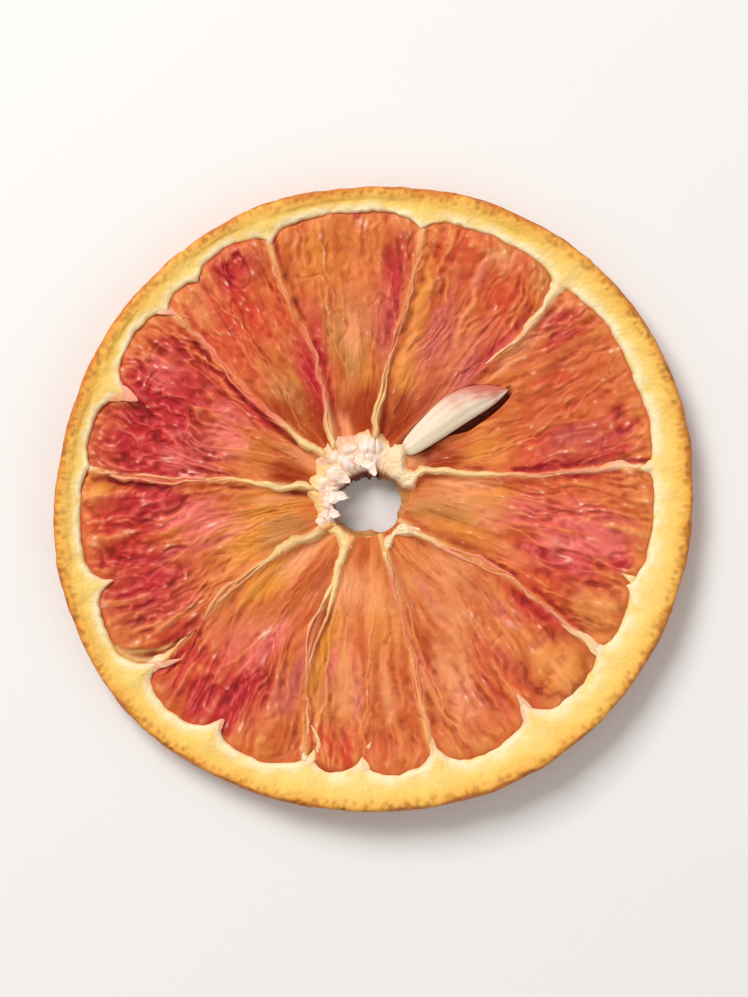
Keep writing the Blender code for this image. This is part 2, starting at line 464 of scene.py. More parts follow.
def make_piece(
    name: str, points: np.ndarray, faces: list, paints: dict, material: bpy.types.Material
) -> bpy.types.Object:
    """An object at the origin from points, faces of any counts, and painted masks.

    Args:
        name: the piece's name.
        points: vertex places in metres, one row each.
        faces: arrays of vertex numbers, each with one width of face.
        paints: attribute names and their four-channel values, one row for each vertex.
        material: its finish.

    Returns:
        The object, shaded smooth and linked to the scene.
    """
    mesh = bpy.data.meshes.new(name)
    corners = np.concatenate([group.ravel() for group in faces]).astype(np.int32)
    counts = np.concatenate([np.full(len(group), group.shape[1], np.int32) for group in faces])
    starts = np.concatenate([[0], np.cumsum(counts)[:-1]]).astype(np.int32)
    mesh.vertices.add(len(points))
    mesh.vertices.foreach_set("co", points.astype(np.float32).ravel())
    mesh.loops.add(len(corners))
    mesh.loops.foreach_set("vertex_index", corners)
    mesh.polygons.add(len(counts))
    mesh.polygons.foreach_set("loop_start", starts)
    mesh.polygons.foreach_set("loop_total", counts)
    mesh.update(calc_edges=True)
    for paint, values in paints.items():
        layer = mesh.attributes.new(paint, "FLOAT_COLOR", "POINT")
        layer.data.foreach_set("color", values.astype(np.float32).ravel())
    mesh.shade_smooth()
    mesh.materials.append(material)
    piece = bpy.data.objects.new(name, mesh)
    bpy.context.scene.collection.objects.link(piece)
    return piece


def channels(*masks: np.ndarray) -> np.ndarray:
    """Up to four masks as the channels of one paint, flattened to one row for each vertex."""
    flat = [np.clip(mask, 0.0, 1.0).ravel() for mask in masks]
    flat += [np.zeros_like(flat[0])] * (4 - len(flat))
    return np.stack(flat, axis=1)


# ---- Shaders ----


class Value:
    """A number in a shader. Arithmetic on it adds Math nodes."""

    def __init__(self, shader: "Shader", socket: bpy.types.NodeSocket) -> None:
        """Wraps the socket that gives the number."""
        self.shader = shader
        self.socket = socket

    def _math(self, operation: str, first: object, second: object = 0.0) -> "Value":
        """A Math node on two numbers or values."""
        node = self.shader.node("ShaderNodeMath", {"operation": operation}, {0: first, 1: second})
        return Value(self.shader, node.outputs[0])

    def __add__(self, other: object) -> "Value":
        """This plus the other."""
        return self._math("ADD", self, other)

    __radd__ = __add__

    def __sub__(self, other: object) -> "Value":
        """This minus the other."""
        return self._math("SUBTRACT", self, other)

    def __rsub__(self, other: object) -> "Value":
        """The other minus this."""
        return self._math("SUBTRACT", other, self)

    def __mul__(self, other: object) -> "Value":
        """This times the other."""
        return self._math("MULTIPLY", self, other)

    __rmul__ = __mul__

    def between(self, low: float, high: float) -> "Value":
        """0 below low, 1 above high, and a smooth step between them."""
        node = self.shader.node(
            "ShaderNodeMapRange",
            {"interpolation_type": "SMOOTHSTEP"},
            {"Value": self, "From Min": low, "From Max": high},
        )
        return Value(self.shader, node.outputs["Result"])


Colour = tuple


def linear(red: int, green: int, blue: int) -> Colour:
    """A screen colour of 0 to 255 as linear light, with full alpha."""
    parts = [part / 255.0 for part in (red, green, blue)]
    return (*(p / 12.92 if p <= 0.04045 else ((p + 0.055) / 1.055) ** 2.4 for p in parts), 1.0)


class Shader:
    """A material and the nodes that feed its one Principled surface."""

    def __init__(self, name: str) -> None:
        """Makes an empty material with its surface and object coordinates."""
        self.material = bpy.data.materials.new(name)
        self.material.use_nodes = True
        self.tree = self.material.node_tree
        self.surface = self.tree.nodes["Principled BSDF"]
        self.place = self.node("ShaderNodeTexCoord").outputs["Object"]

    def node(self, kind: str, settings: dict | None = None, inputs: dict | None = None) -> bpy.types.Node:
        """Adds a node.

        Args:
            kind: the node's type.
            settings: its properties. A ramp's stops are given as "stops".
            inputs: values, sockets or Values by input name or number.

        Returns:
            The node.
        """
        node = self.tree.nodes.new(kind)
        for key, value in (settings or {}).items():
            if key == "stops":
                self._stops(node.color_ramp, value)
            else:
                setattr(node, key, value)
        for key, value in (inputs or {}).items():
            self.feed(node.inputs[key], value)
        return node

    def feed(self, target: bpy.types.NodeSocket, value: object) -> None:
        """Links or sets one input."""
        if isinstance(value, Value):
            value = value.socket
        if isinstance(value, bpy.types.NodeSocket):
            self.tree.links.new(value, target)
        else:
            target.default_value = value

    @staticmethod
    def _stops(ramp: bpy.types.ColorRamp, stops: list) -> None:
        """Sets a ramp's places and colours."""
        while len(ramp.elements) < len(stops):
            ramp.elements.new(1.0)
        for element, (place, colour) in zip(ramp.elements, stops):
            element.position = place
            element.color = colour

    def paint(self, name: str) -> tuple:
        """The four masks of a paint, as Values."""
        attribute = self.node("ShaderNodeAttribute", {"attribute_name": name})
        parts = self.node("ShaderNodeSeparateColor", None, {"Color": attribute.outputs["Color"]})
        return (*(Value(self, parts.outputs[i]) for i in range(3)), Value(self, attribute.outputs["Alpha"]))

    def noise(self, size: float, detail: float = 2.0, stretch: tuple = (1.0, 1.0, 1.0)) -> Value:
        """Noise on object coordinates whose bumps are about size metres across."""
        mapped = self.node("ShaderNodeMapping", None, {"Vector": self.place, "Scale": stretch})
        node = self.node(
            "ShaderNodeTexNoise", None, {"Vector": mapped.outputs[0], "Scale": 1.0 / size, "Detail": detail}
        )
        return Value(self, node.outputs["Fac"])

    def cells(self, size: float) -> Value:
        """Distance to the nearest of many scattered points, which lie about size metres apart."""
        node = self.node("ShaderNodeTexVoronoi", None, {"Vector": self.place, "Scale": 1.0 / size})
        return Value(self, node.outputs["Distance"])

    def mix(self, factor: object, first: object, second: object, blend: str = "MIX") -> bpy.types.NodeSocket:
        """A colour between two others, by factor."""
        node = self.node("ShaderNodeMix", {"data_type": "RGBA", "blend_type": blend})
        for target, value in (("Factor_Float", factor), ("A_Color", first), ("B_Color", second)):
            socket = next(s for s in node.inputs if s.identifier == target)
            self.feed(socket, value)
        return next(s for s in node.outputs if s.identifier == "Result_Color")

    def coats(self, colour: object, *coats: tuple) -> bpy.types.NodeSocket:
        """Lays coats over a colour in turn, each given as how much of it there is and its colour."""
        for factor, coat in coats:
            colour = self.mix(factor, colour, coat)
        return colour

    def ramp(self, value: object, stops: list) -> bpy.types.NodeSocket:
        """A colour from a ramp."""
        return self.node("ShaderNodeValToRGB", {"stops": stops}, {"Fac": value}).outputs["Color"]

    def bump(self, height: Value, distance: float) -> bpy.types.NodeSocket:
        """A bumped normal, where a height of 1 stands distance metres proud."""
        node = self.node("ShaderNodeBump", None, {"Height": height, "Distance": distance, "Strength": 1.0})
        return node.outputs["Normal"]

    def finish(
        self, colour: object, roughness: object, normal: object = None, **constants: object
    ) -> bpy.types.Material:
        """Connects the surface.

        Args:
            colour: base colour.
            roughness: how rough it is.
            normal: bumped normal, or None.
            constants: values of further sockets of the surface, by their names with
                underscores for spaces.

        Returns:
            The material.
        """
        self.feed(self.surface.inputs["Base Color"], colour)
        self.feed(self.surface.inputs["Roughness"], roughness)
        if normal is not None:
            self.feed(self.surface.inputs["Normal"], normal)
        for key, value in constants.items():
            self.surface.inputs[key.replace("_", " ")].default_value = value
        return self.material


@dataclass(frozen=True)
class FleshFinish:
    """Dried flesh: orange, stained crimson, with pale crests partly painted as highlight, painted shade in
    creases and hollows, painted glints and a glaze.
    """

    deep: Colour = linear(198, 82, 26)
    bright: Colour = linear(239, 147, 77)
    golden: Colour = linear(228, 142, 46)
    crimson: Colour = linear(196, 36, 44)
    scarlet: Colour = linear(212, 62, 34)
    mauve: Colour = linear(200, 90, 82)
    khaki: Colour = linear(198, 126, 62)
    rust: Colour = linear(170, 60, 4)
    rose: Colour = linear(240, 114, 107)
    peach: Colour = linear(244, 158, 104)
    # Crest colours: partly the pale walls of dried sacs, partly painted highlight.
    pale_orange: Colour = linear(244, 164, 92)
    pale_rose: Colour = linear(237, 119, 101)
    cream: Colour = linear(250, 212, 144)
    glint: Colour = linear(252, 204, 186)
    # crease is multiplied in as painted shade over the hollows; shade is painted shade in gaps, slits and
    # along the pith.
    crease: Colour = linear(168, 74, 44)
    shade: Colour = linear(100, 12, 4)

    def material(self) -> bpy.types.Material:
        """Mixes the pigments by the masks that each segment is painted with, then lays on the crest colour,
        painted shade and painted glints.
        """
        shader = Shader("dried_flesh")
        crimson, khaki, golden, tone = shader.paint("pigment")
        wrinkle, dark, pale, glint = shader.paint("tissue")
        mauve, scarlet, rust, hollow = shader.paint("tint")
        rose, peach, _, _ = shader.paint("blush")
        grain = shader.noise(0.0004, 3.0)
        colour = shader.mix(tone * 0.8 + grain * 0.4 - 0.1, self.deep, self.bright)
        # light: the crest colour, partly the pale walls of dried sacs, partly painted highlight.
        light = shader.mix(crimson, self.pale_orange, self.pale_rose)
        colour = shader.coats(
            colour,
            (golden, self.golden),
            (khaki, self.khaki),
            (rust, self.rust),
            (peach, self.peach),
            (scarlet, self.scarlet),
            (crimson, self.crimson),
            (mauve, self.mauve),
            (rose, self.rose),
            (wrinkle * (grain * 0.6 + 0.5), light),
        )
        # Painted shade: the crease colour multiplied in over the hollows, which also deepens their colour.
        colour = shader.mix(hollow, colour, self.crease, "MULTIPLY")
        # Then cream, painted glints, and painted shade in gaps, slits and along the pith.
        colour = shader.coats(colour, (pale, self.cream), (glint, self.glint), (dark, self.shade))
        fine = shader.noise(0.00022, 2.0)
        return shader.finish(
            colour,
            0.42 + 0.3 * grain,
            shader.bump(fine, 0.00005),
            Subsurface_Weight=0.1,
            Subsurface_Radius=(1.0, 0.35, 0.15),
            Subsurface_Scale=0.0006,
            Specular_IOR_Level=0.28,
            Coat_Weight=0.05,
            Coat_Roughness=0.3,
        )


@dataclass(frozen=True)
class RindFinish:
    """Cut rind and pith: orange skin, golden zest with oil glands, cream pith, and painted shade where it
    meets the flesh.
    """

    skin: Colour = linear(206, 112, 30)
    edge: Colour = linear(216, 134, 44)
    zest: Colour = linear(242, 176, 74)
    butter: Colour = linear(248, 202, 100)
    pith: Colour = linear(250, 214, 128)
    inner: Colour = linear(254, 234, 186)
    blush: Colour = linear(248, 206, 176)
    gland: Colour = linear(180, 112, 30)
    brown: Colour = linear(128, 70, 26)

    def material(self) -> bpy.types.Material:
        """Colours run inwards from the skin, with glands and brown specks near it, and brown painted shade in
        the crevice at the flesh.
        """
        shader = Shader("cut_rind")
        depth, gland, blush, wall = shader.paint("rind")
        # The crease channel is painted shade in the crevice where the rind meets the flesh.
        crease, speck, inner, _ = shader.paint("rind_marks_and_shade")
        wander = shader.noise(0.0016, 3.0)
        mottle = shader.noise(0.0006, 2.0)
        place = depth + (wander - 0.5) * 0.3 + (mottle - 0.5) * 0.2
        colour = shader.ramp(
            place, [(0.02, self.edge), (0.16, self.zest), (0.40, self.butter), (0.75, self.pith)]
        )
        colour = shader.coats(
            colour,
            (inner * (wander * 0.5 + 0.75), self.inner),
            (wall, self.skin),
            (blush, self.blush),
            (gland, self.gland),
            (speck, self.brown),
            (crease, self.brown),
        )
        pore = (1.0 - shader.cells(0.0011).between(0.1, 0.42)) * wall
        colour = shader.mix(pore * wander * 0.7, colour, self.brown)
        fine = shader.noise(0.0004, 4.0)
        return shader.finish(
            colour,
            0.5 + 0.25 * wander,
            shader.bump(fine - pore, 0.00012),
            Specular_IOR_Level=0.35,
            Subsurface_Weight=0.08,
            Subsurface_Radius=(1.0, 0.7, 0.35),
            Subsurface_Scale=0.0006,
        )


@dataclass(frozen=True)
class PithFinish:
    """Membranes and core pith: cream to pinkish, dry and slightly fibrous."""

    white: Colour = linear(254, 234, 220)
    cream: Colour = linear(251, 211, 142)
    rose: Colour = linear(240, 118, 98)
    tan: Colour = linear(196, 132, 66)
    brown: Colour = linear(102, 30, 12)

    def material(self) -> bpy.types.Material:
        """Cream at the ends, rose where the flesh has stained it and as painted shade in creases, white where
        it is torn, and brown as painted shade in the hole.
        """
        shader = Shader("dry_pith")
        rose, white, tan, brown = shader.paint("pith")
        grain = shader.noise(0.0005, 3.0)
        colour = shader.coats(
            self.cream,
            (white, self.white),
            (rose, self.rose),
            (tan, self.tan),
            ((grain - 0.5) * 0.5, self.tan),
            (brown, self.brown),
        )
        return shader.finish(
            colour,
            0.55,
            shader.bump(grain, 0.00006),
            Subsurface_Weight=0.1,
            Subsurface_Radius=(1.0, 0.6, 0.35),
            Subsurface_Scale=0.0006,
        )


@dataclass(frozen=True)
class SeedFinish:
    """A dry seed: ivory, with a pink film on its upper side towards the tip."""

    ivory: Colour = linear(246, 228, 202)
    film: Colour = linear(206, 110, 96)
    brown: Colour = linear(150, 92, 52)

    def material(self) -> bpy.types.Material:
        """Fine lengthwise wrinkles, a film and brown from the mask; the brown along the right-hand edge is
        painted shade.
        """
        shader = Shader("dry_seed")
        film, brown, streak, _ = shader.paint("seed")
        grain = shader.noise(0.0004, 3.0)
        colour = shader.coats(
            self.ivory, (film, self.film), (brown, self.brown), (streak * 0.2, self.brown)
        )
        return shader.finish(colour, 0.48 + 0.2 * grain, shader.bump(grain, 0.00004))


# ---- Rind and pith ----


@dataclass(frozen=True)
class RindRing:
    """The ring of rind with the pith inside it, which reaches in between the lobes.

    Its section is a closed spline. It starts in the middle of the inner edge, rises over
    the pith to the crest of the rind, goes down the skin and comes back underneath.
    """

    columns: int = 1400
    rows: int = 70
    gland_step: float = 0.95
    gland_depth: float = 0.13
    tick_step: float = 0.6
    tick_length: float = 1.1
    lump_height: float = 0.13
    ripple_height: float = 0.08
    pith_lump_height: float = 0.09
    swell_height: float = 0.14
    pith_span: float = 3.2
    # The face's section: share of the pith's span in from its inner edge, and height.
    pith_points: tuple = ((-0.06, 0.0), (-0.06, 0.7), (-0.05, 1.22), (0.03, 1.46), (0.2, 1.52), (0.45, 1.64))
    # The rind's: distance in from the rim, and height.
    rind_points: tuple = ((1.15, 1.82), (0.65, 1.98), (0.22, 1.9), (-0.02, 1.45), (-0.08, 0.7), (-0.09, 0.0))

    def section(self, angle: np.ndarray) -> tuple:
        """The ring's section at each angle.

        Args:
            angle: angles round the slice.

        Returns:
            Radius and height, one row for each place in the loop.
        """
        inner = PLAN.flesh_radius(angle)
        rim = PLAN.rim_radius(angle)
        span = np.minimum(rim - inner, self.pith_span)
        face_r = [inner + share * span for share, _ in self.pith_points]
        face_r += [rim - inset for inset, _ in self.rind_points]
        face_z = [high * np.ones_like(angle) for _, high in (*self.pith_points, *self.rind_points)]
        loop_r = np.array(face_r + face_r[-2:0:-1])
        loop_z = np.array(face_z + [-high for high in face_z[-2:0:-1]])
        return spline(loop_r, self.rows), spline(loop_z, self.rows)

    def build(self, material: bpy.types.Material) -> bpy.types.Object:
        """Makes the ring, its pores, its uneven pith and its masks."""
        angle = np.linspace(0.0, 360.0, self.columns, endpoint=False)
        radius, height = self.section(angle)
        around = np.broadcast_to(angle, radius.shape)
        rim = PLAN.rim_radius(around)
        inner = PLAN.flesh_radius(around)
        inset = rim - radius
        turn = around / 360.0
        skin = smooth(0.7, 0.1, inset)
        zest = smooth(1.7, 0.7, inset)
        on_wall = smooth(1.85, 1.35, np.abs(height)) * skin

        count = round(2 * math.pi * PLAN.rim / self.gland_step)
        rising = np.where(inset < 0.3, height, np.sign(height) * (inset + 1.7)) / self.gland_step
        glands = cells(turn * count, rising + 40.0, 11, 0.8, count)
        pit = smooth(0.45, 0.1, glands.near) * smooth(0.1, 0.7, glands.tone)
        lumps = layered(turn * 64, height * 0.5 + 9.0, 12, 3, 64)
        ripples = layered(turn * 22, inset * 0.3 + 5.0, 13, 2, 22)
        uneven = self.lump_height * lumps + self.ripple_height * ripples
        radius = radius - self.gland_depth * pit * skin + uneven * skin
        up = np.sign(height) * smooth(0.5, 1.3, np.abs(height))
        pith_zone = smooth(0.7, 1.6, inset)
        lumpy_pith = layered(turn * 130, inset * 1.1 + 3.0, 14, 3, 130)
        scrapes = noise(turn * 70, inset * 2.6 + 4.0, 15, 70)
        face = self.pith_lump_height * lumpy_pith * (0.4 + 0.6 * pith_zone) - 0.1 * pit * zest
        face = face + 0.03 * scrapes
        broad = self.swell_height * noise(turn * 18, inset * 0.25, 16, 18)
        height = height + up * (face + broad)
        points = BED.place(polar(radius, around, height), PLAN)

        index = np.arange(radius.size).reshape(radius.shape)
        depth = np.clip((inset + 0.25 * lumps) / 3.6, 0.0, 1.0)
        edge_gap = radius - inner
        tongue = smooth(0.4, 1.5, PLAN.notch_depth(around)) * smooth(1.1, 0.2, edge_gap)
        near_edge = smooth(0.44 * PLAN.band_width(around), 0.1, edge_gap) * smooth(-1.0, 0.3, lumpy_pith)
        blotted = layered(turn * 150, inset * 1.4 + height, 18, 2, 150)
        on_face = smooth(1.1, 1.5, np.abs(height))
        spots = smooth(0.4, 0.1, glands.near + 0.15 * blotted) * smooth(1.6, 0.6, inset)
        spots = spots * smooth(0.0, 0.6, glands.tone) * on_face
        ticked = round(count * self.gland_step / self.tick_step)
        ticks = cells(turn * ticked, inset / self.tick_length + 2.0, 19, 0.8, ticked)
        tick = smooth(0.42, 0.15, ticks.near) * smooth(0.35, 0.6, ticks.tone) * smooth(0.05, 0.25, inset)
        spots = np.maximum(spots, 0.9 * tick * smooth(1.3, 0.8, inset) * on_face)
        streaked = layered(turn * 200, inset * 1.1 + height, 17, 2, 200)
        dashes = smooth(0.4, 0.8, streaked) * smooth(1.0, 0.2, inset) * on_face
        # Painted shade: brown in the crevice at the foot of the inner edge, and a thin broken brown line
        # along the edge.
        crease = smooth(0.95, 0.5, np.abs(height)) * smooth(0.35, 0.0, edge_gap)
        edge_shade = 0.15 * smooth(0.15, 0.0, edge_gap) * smooth(-0.2, 0.5, lumps)
        paints = {
            "rind": channels(depth, spots * 0.6, tongue * 0.5, on_wall),
            "rind_marks_and_shade": channels(np.maximum(crease * 0.7, edge_shade), dashes * 0.5, near_edge),
        }
        faces = [quads(index, True, True)[:, ::-1]]
        return make_piece("rind", points.reshape(-1, 3), faces, paints, material)


# ---- Flesh ----


class Pigment(Enum):
    """What a patch of a segment is coloured with. GLINT patches are painted highlights."""

    CRIMSON = "crimson"
    SCARLET = "scarlet"
    MAUVE = "mauve"
    KHAKI = "khaki"
    GOLDEN = "golden"
    RUST = "rust"
    CREAM = "pale"
    ROSE = "rose"
    PEACH = "peach"
    GLINT = "glint"


@dataclass(frozen=True)
class Patch:
    """A coloured patch, or a painted highlight for GLINT: its place, its half lengths along and across the
    radius, its strength.
    """

    pigment: Pigment
    angle: float
    radius: float
    along: float
    across: float
    strength: float


@dataclass(frozen=True)
class Strand:
    """A pale thread through the flesh: its bends as (radius, angle), half width, lift and paleness."""

    bends: tuple
    half_width: float
    lift: float
    paleness: float


# The patches of each pigment, as in Patch: angle, radius, half lengths along and across, strength. The GLINT
# rows are painted highlights.
# Angles run counter-clockwise from the right.
STAINS_AND_GLINTS = {
    Pigment.CRIMSON: (
        (11, 19.5, 6.4, 1.5, 0.75), (41, 25, 3.5, 2.2, 0.65), (20, 25.5, 1.8, 3.0, 0.45),
        (51, 17.5, 5.5, 1.3, 0.75), (64, 19, 3.5, 2.2, 0.35), (83, 20, 6.0, 1.7, 0.65),
        (85, 24.0, 2.6, 1.2, 0.4), (92.6, 27.8, 0.4, 0.5, 1.0), (107, 17, 6.0, 1.0, 0.35),
        (119, 26, 2.2, 2.8, 0.85), (114, 13, 5.0, 1.5, 0.95), (152, 21.5, 4.8, 4.8, 1.0),
        (167, 21.5, 6.5, 3.6, 1.15), (143, 14.0, 4.5, 1.2, 0.8), (180.0, 20.0, 4.5, 1.3, 1.0),
        (200, 22.5, 5.5, 5.0, 0.95), (230, 25.5, 3.4, 4.2, 0.85), (237, 20.5, 5.0, 2.0, 0.8),
        (309, 19.5, 4.5, 1.3, 0.45), (303, 20.5, 4.0, 0.5, 0.6), (290, 15.5, 4.5, 0.6, 0.7),
        (328, 19.8, 3.0, 1.2, 0.7), (343, 21.0, 4.5, 2.4, 0.6), (344.6, 20.7, 1.6, 0.5, 0.8),
        (346, 25.0, 1.2, 0.9, 0.9), (350, 16.5, 3.0, 1.8, 0.4), (344, 17.5, 3.5, 0.8, 0.6),
    ),
    Pigment.SCARLET: (
        (25, 22.0, 7.0, 7.0, 0.65), (17, 15.5, 3.5, 3.5, 0.25), (62, 21.0, 8.0, 5.0, 0.35),
        (71, 26, 2.8, 2.4, 0.45), (58, 24, 3.0, 2.4, 0.5), (92, 22.0, 7.0, 6.0, 0.25),
        (120, 22.5, 6.5, 5.0, 0.55), (130, 19.0, 5.5, 2.6, 0.4), (150, 22.5, 6.0, 7.0, 0.6),
        (188, 23.5, 5.0, 4.5, 0.9), (214, 24.0, 3.0, 2.0, 0.6), (232, 22.5, 6.0, 6.5, 0.6),
        (224, 24.0, 2.6, 2.6, 0.7), (265, 12.5, 5.0, 0.8, 0.5), (268, 24.5, 3.0, 6.0, 0.65),
        (303, 22.5, 5.0, 6.0, 0.3), (307, 19.5, 5.5, 2.2, 0.25), (327, 19.0, 4.5, 1.4, 0.7),
        (348, 19.0, 6.5, 4.8, 0.85), (334, 17.0, 4.5, 1.4, 0.3),
    ),
    Pigment.MAUVE: (
        (17, 21, 4.0, 2.5, 0.5), (66, 17, 6.0, 3.0, 0.7), (52, 14.8, 2.8, 1.2, 0.8),
        (87, 17, 5.0, 1.8, 0.45), (164, 17, 4.5, 3.0, 0.5), (193, 19.0, 3.0, 2.4, 0.4),
        (247, 19.0, 5.0, 1.4, 0.8), (268, 18.5, 3.0, 1.2, 0.5), (296, 20.8, 2.6, 1.6, 0.35),
        (303, 11.0, 4.0, 1.0, 0.35), (354, 24.0, 2.5, 2.0, 0.5),
    ),
    Pigment.KHAKI: (
        (33, 22.0, 3.0, 2.2, 0.6), (52, 27.0, 1.8, 1.8, 0.7), (98, 15.5, 5.5, 2.4, 1.0),
        (109, 8.5, 2.0, 1.2, 0.8), (127, 13, 4.4, 1.9, 0.7), (126, 12.5, 2.6, 1.4, 0.5),
        (202, 8.5, 2.6, 1.8, 1.3), (229, 15.0, 4.0, 1.6, 0.5), (256, 17.0, 4.0, 1.0, 0.35),
        (262, 18.5, 3.5, 1.8, 0.5), (357, 5.0, 2.0, 1.4, 0.6), (356, 8.5, 2.6, 1.6, 0.7),
        (333, 23.5, 2.0, 1.8, 0.6),
    ),
    Pigment.GOLDEN: (
        (24, 12, 4.0, 2.0, 0.6), (74, 11.0, 3.5, 1.6, 0.9), (79, 8.8, 2.6, 0.9, 1.6),
        (75.8, 17.5, 7.0, 0.7, 1.3), (101, 23.5, 3.5, 3.2, 0.6), (90, 12.0, 3.0, 1.6, 0.8),
        (125, 12.5, 3.6, 1.2, 0.9), (133, 25, 2.6, 1.8, 0.7), (157, 11.0, 3.5, 2.2, 0.5),
        (177, 26.3, 1.8, 1.3, 1.3), (178, 8.5, 3.0, 1.2, 1.0), (196, 11.5, 4.5, 3.4, 0.9),
        (219, 11.0, 5.0, 1.2, 1.2), (251, 15.0, 5.5, 1.0, 1.0), (272, 10.5, 3.6, 2.6, 0.6),
        (320, 24.5, 2.2, 2.6, 0.7), (345, 9.5, 4.0, 3.0, 0.6), (333, 24.0, 2.6, 2.4, 0.6),
        (3, 15.0, 6.0, 1.2, 0.7),
    ),
    Pigment.RUST: (
        (28, 8.2, 2.4, 1.5, 0.9), (36, 6.7, 1.3, 1.1, 1.8), (33.3, 7.7, 1.0, 0.9, 1.0),
        (67, 8.2, 2.8, 2.2, 1.5), (60, 12.5, 3.0, 1.2, 0.6), (49.6, 23.9, 2.0, 0.8, 0.8),
        (101, 8.5, 2.0, 1.2, 0.6), (89, 9.0, 3.0, 2.0, 1.2), (86, 16.0, 5.0, 1.0, 0.4),
        (119, 10.0, 3.4, 1.6, 1.1), (134, 12.0, 2.0, 1.4, 0.9), (127, 8.0, 2.0, 2.6, 0.5),
        (156, 12.0, 2.0, 2.0, 0.3), (164, 8.0, 2.6, 2.0, 1.3), (238, 8.8, 3.0, 1.1, 0.7),
        (247, 12.0, 3.5, 0.8, 0.8), (322, 14.0, 5.0, 0.5, 0.6), (294, 24.6, 2.0, 2.4, 0.45),
        (311, 24.6, 2.0, 2.0, 0.25), (336, 9.5, 3.0, 0.9, 0.7), (336, 21.8, 2.0, 1.0, 0.7),
    ),
    Pigment.CREAM: (
        (62, 26.8, 0.9, 1.2, 0.45),
    ),
    Pigment.ROSE: (
        (64, 24.5, 2.0, 0.6, 0.8), (152, 15.8, 3.0, 3.0, 0.75), (166, 19.0, 2.6, 1.6, 0.5),
        (147, 23.5, 2.4, 2.0, 0.5), (183, 16.5, 4.0, 2.2, 0.7), (193, 17.0, 4.0, 2.4, 0.45),
        (226, 18.0, 4.0, 3.0, 0.45), (236, 15.5, 3.5, 2.4, 0.4), (257, 16.5, 3.0, 0.6, 0.5),
        (311, 19.9, 2.0, 0.6, 0.4), (321, 16.5, 2.6, 1.2, 0.6), (350, 20.0, 4.4, 3.4, 0.8),
        (347.5, 18.4, 1.6, 0.5, 1.2), (348.4, 22.6, 1.6, 0.5, 1.2), (359, 14.5, 2.6, 1.6, 0.45),
    ),
    Pigment.PEACH: (
        (44, 5.9, 0.9, 0.9, 1.0), (45.8, 21.5, 4.5, 0.8, 1.3), (56, 19.5, 3.0, 2.0, 0.5),
        (60.5, 26.4, 1.6, 1.3, 0.9), (96, 16.5, 3.0, 1.0, 0.6), (112, 7.8, 1.8, 1.1, 1.2),
        (130, 24.0, 3.2, 2.6, 0.9), (128, 16.5, 4.0, 1.4, 0.6), (156, 15.5, 2.4, 1.6, 0.5),
        (145, 8.0, 2.5, 1.2, 0.7), (178, 9.5, 3.0, 0.9, 0.6), (190, 15.0, 2.6, 1.6, 0.7),
        (219, 8.5, 3.0, 1.4, 0.9), (266, 8.4, 2.8, 1.6, 0.9), (253, 8.2, 2.4, 0.9, 0.8),
        (265, 17.0, 5.0, 2.2, 0.6), (277, 19.5, 3.0, 1.6, 0.7), (302, 11.5, 6.5, 4.0, 0.5),
        (295, 18.5, 4.0, 2.2, 0.8), (297, 21.8, 1.8, 1.2, 0.5), (320, 12.5, 6.0, 1.8, 0.45),
        (320, 24.2, 1.4, 1.6, 0.45), (9, 9.0, 3.5, 1.6, 0.8), (352, 12.5, 2.4, 1.4, 0.8),
        (340, 15.5, 3.0, 1.2, 0.6), (335, 24.0, 1.4, 1.2, 0.6),
    ),
    Pigment.GLINT: (
        (91.5, 27.0, 0.7, 0.65, 0.85), (231.5, 16.3, 0.9, 0.3, 1.1), (187.5, 15.6, 0.5, 0.4, 1.1),
        (319.5, 18.2, 0.9, 0.35, 0.9), (344.0, 19.6, 0.9, 0.3, 0.8), (350.5, 21.5, 0.9, 0.3, 0.9),
        (348.0, 19.0, 1.1, 0.35, 0.9), (345.5, 22.5, 1.1, 0.35, 0.8), (171.0, 17.5, 1.3, 0.35, 0.8),
        (168.0, 20.0, 1.0, 0.35, 0.7), (236.0, 18.0, 1.0, 0.25, 0.7),
    ),
}
PATCHES = tuple(Patch(pigment, *row) for pigment, stains_and_glints in STAINS_AND_GLINTS.items() for row in stains_and_glints)

STRANDS = (
    Strand(((8.5, 77.0), (13.5, 77.6), (17.7, 75.6), (24.5, 75.2)), 0.42, 0.12, 0.3),
    Strand(((17.5, 62.0), (20.7, 62.9), (24.0, 63.8), (26.8, 64.4)), 0.32, 0.14, 0.8),
    Strand(((12.0, 100.0), (16.0, 103.0), (21.0, 101.5), (26.0, 99.0)), 0.10, 0.08, 0.35),
    Strand(((9.0, 133.0), (14.0, 127.0), (20.0, 126.0), (26.0, 127.0)), 0.10, 0.08, 0.5),
    Strand(((8.0, 150.0), (13.0, 158.0), (18.0, 163.0), (23.0, 166.0)), 0.10, 0.06, 0.5),
    Strand(((12.0, 231.0), (16.0, 232.0), (20.0, 229.0), (24.0, 228.0)), 0.12, 0.08, 0.45),
    Strand(((11.0, 251.5), (15.0, 255.0), (19.0, 257.0), (23.5, 256.5)), 0.14, 0.12, 0.75),
    Strand(((9.0, 272.0), (15.0, 270.0), (20.0, 268.5), (24.5, 268.0)), 0.11, 0.09, 0.6),
    Strand(((10.0, 290.0), (16.0, 289.0), (20.0, 289.5), (25.0, 291.0)), 0.13, 0.12, 0.7),
    Strand(((12.0, 314.0), (17.0, 311.0), (21.0, 308.0), (24.5, 307.0)), 0.11, 0.08, 0.5),
    Strand(((14.0, 350.0), (19.0, 344.0), (24.0, 342.0), (26.5, 342.0)), 0.11, 0.08, 0.5),
    Strand(((10.0, 22.0), (16.0, 22.0), (22.0, 25.0), (27.0, 28.0)), 0.11, 0.07, 0.35),
)


@dataclass(frozen=True)
class Swell:
    """A swollen lobe: its middle, its half lengths along and across the radius, its height."""

    angle: float
    radius: float
    along: float
    across: float
    height: float


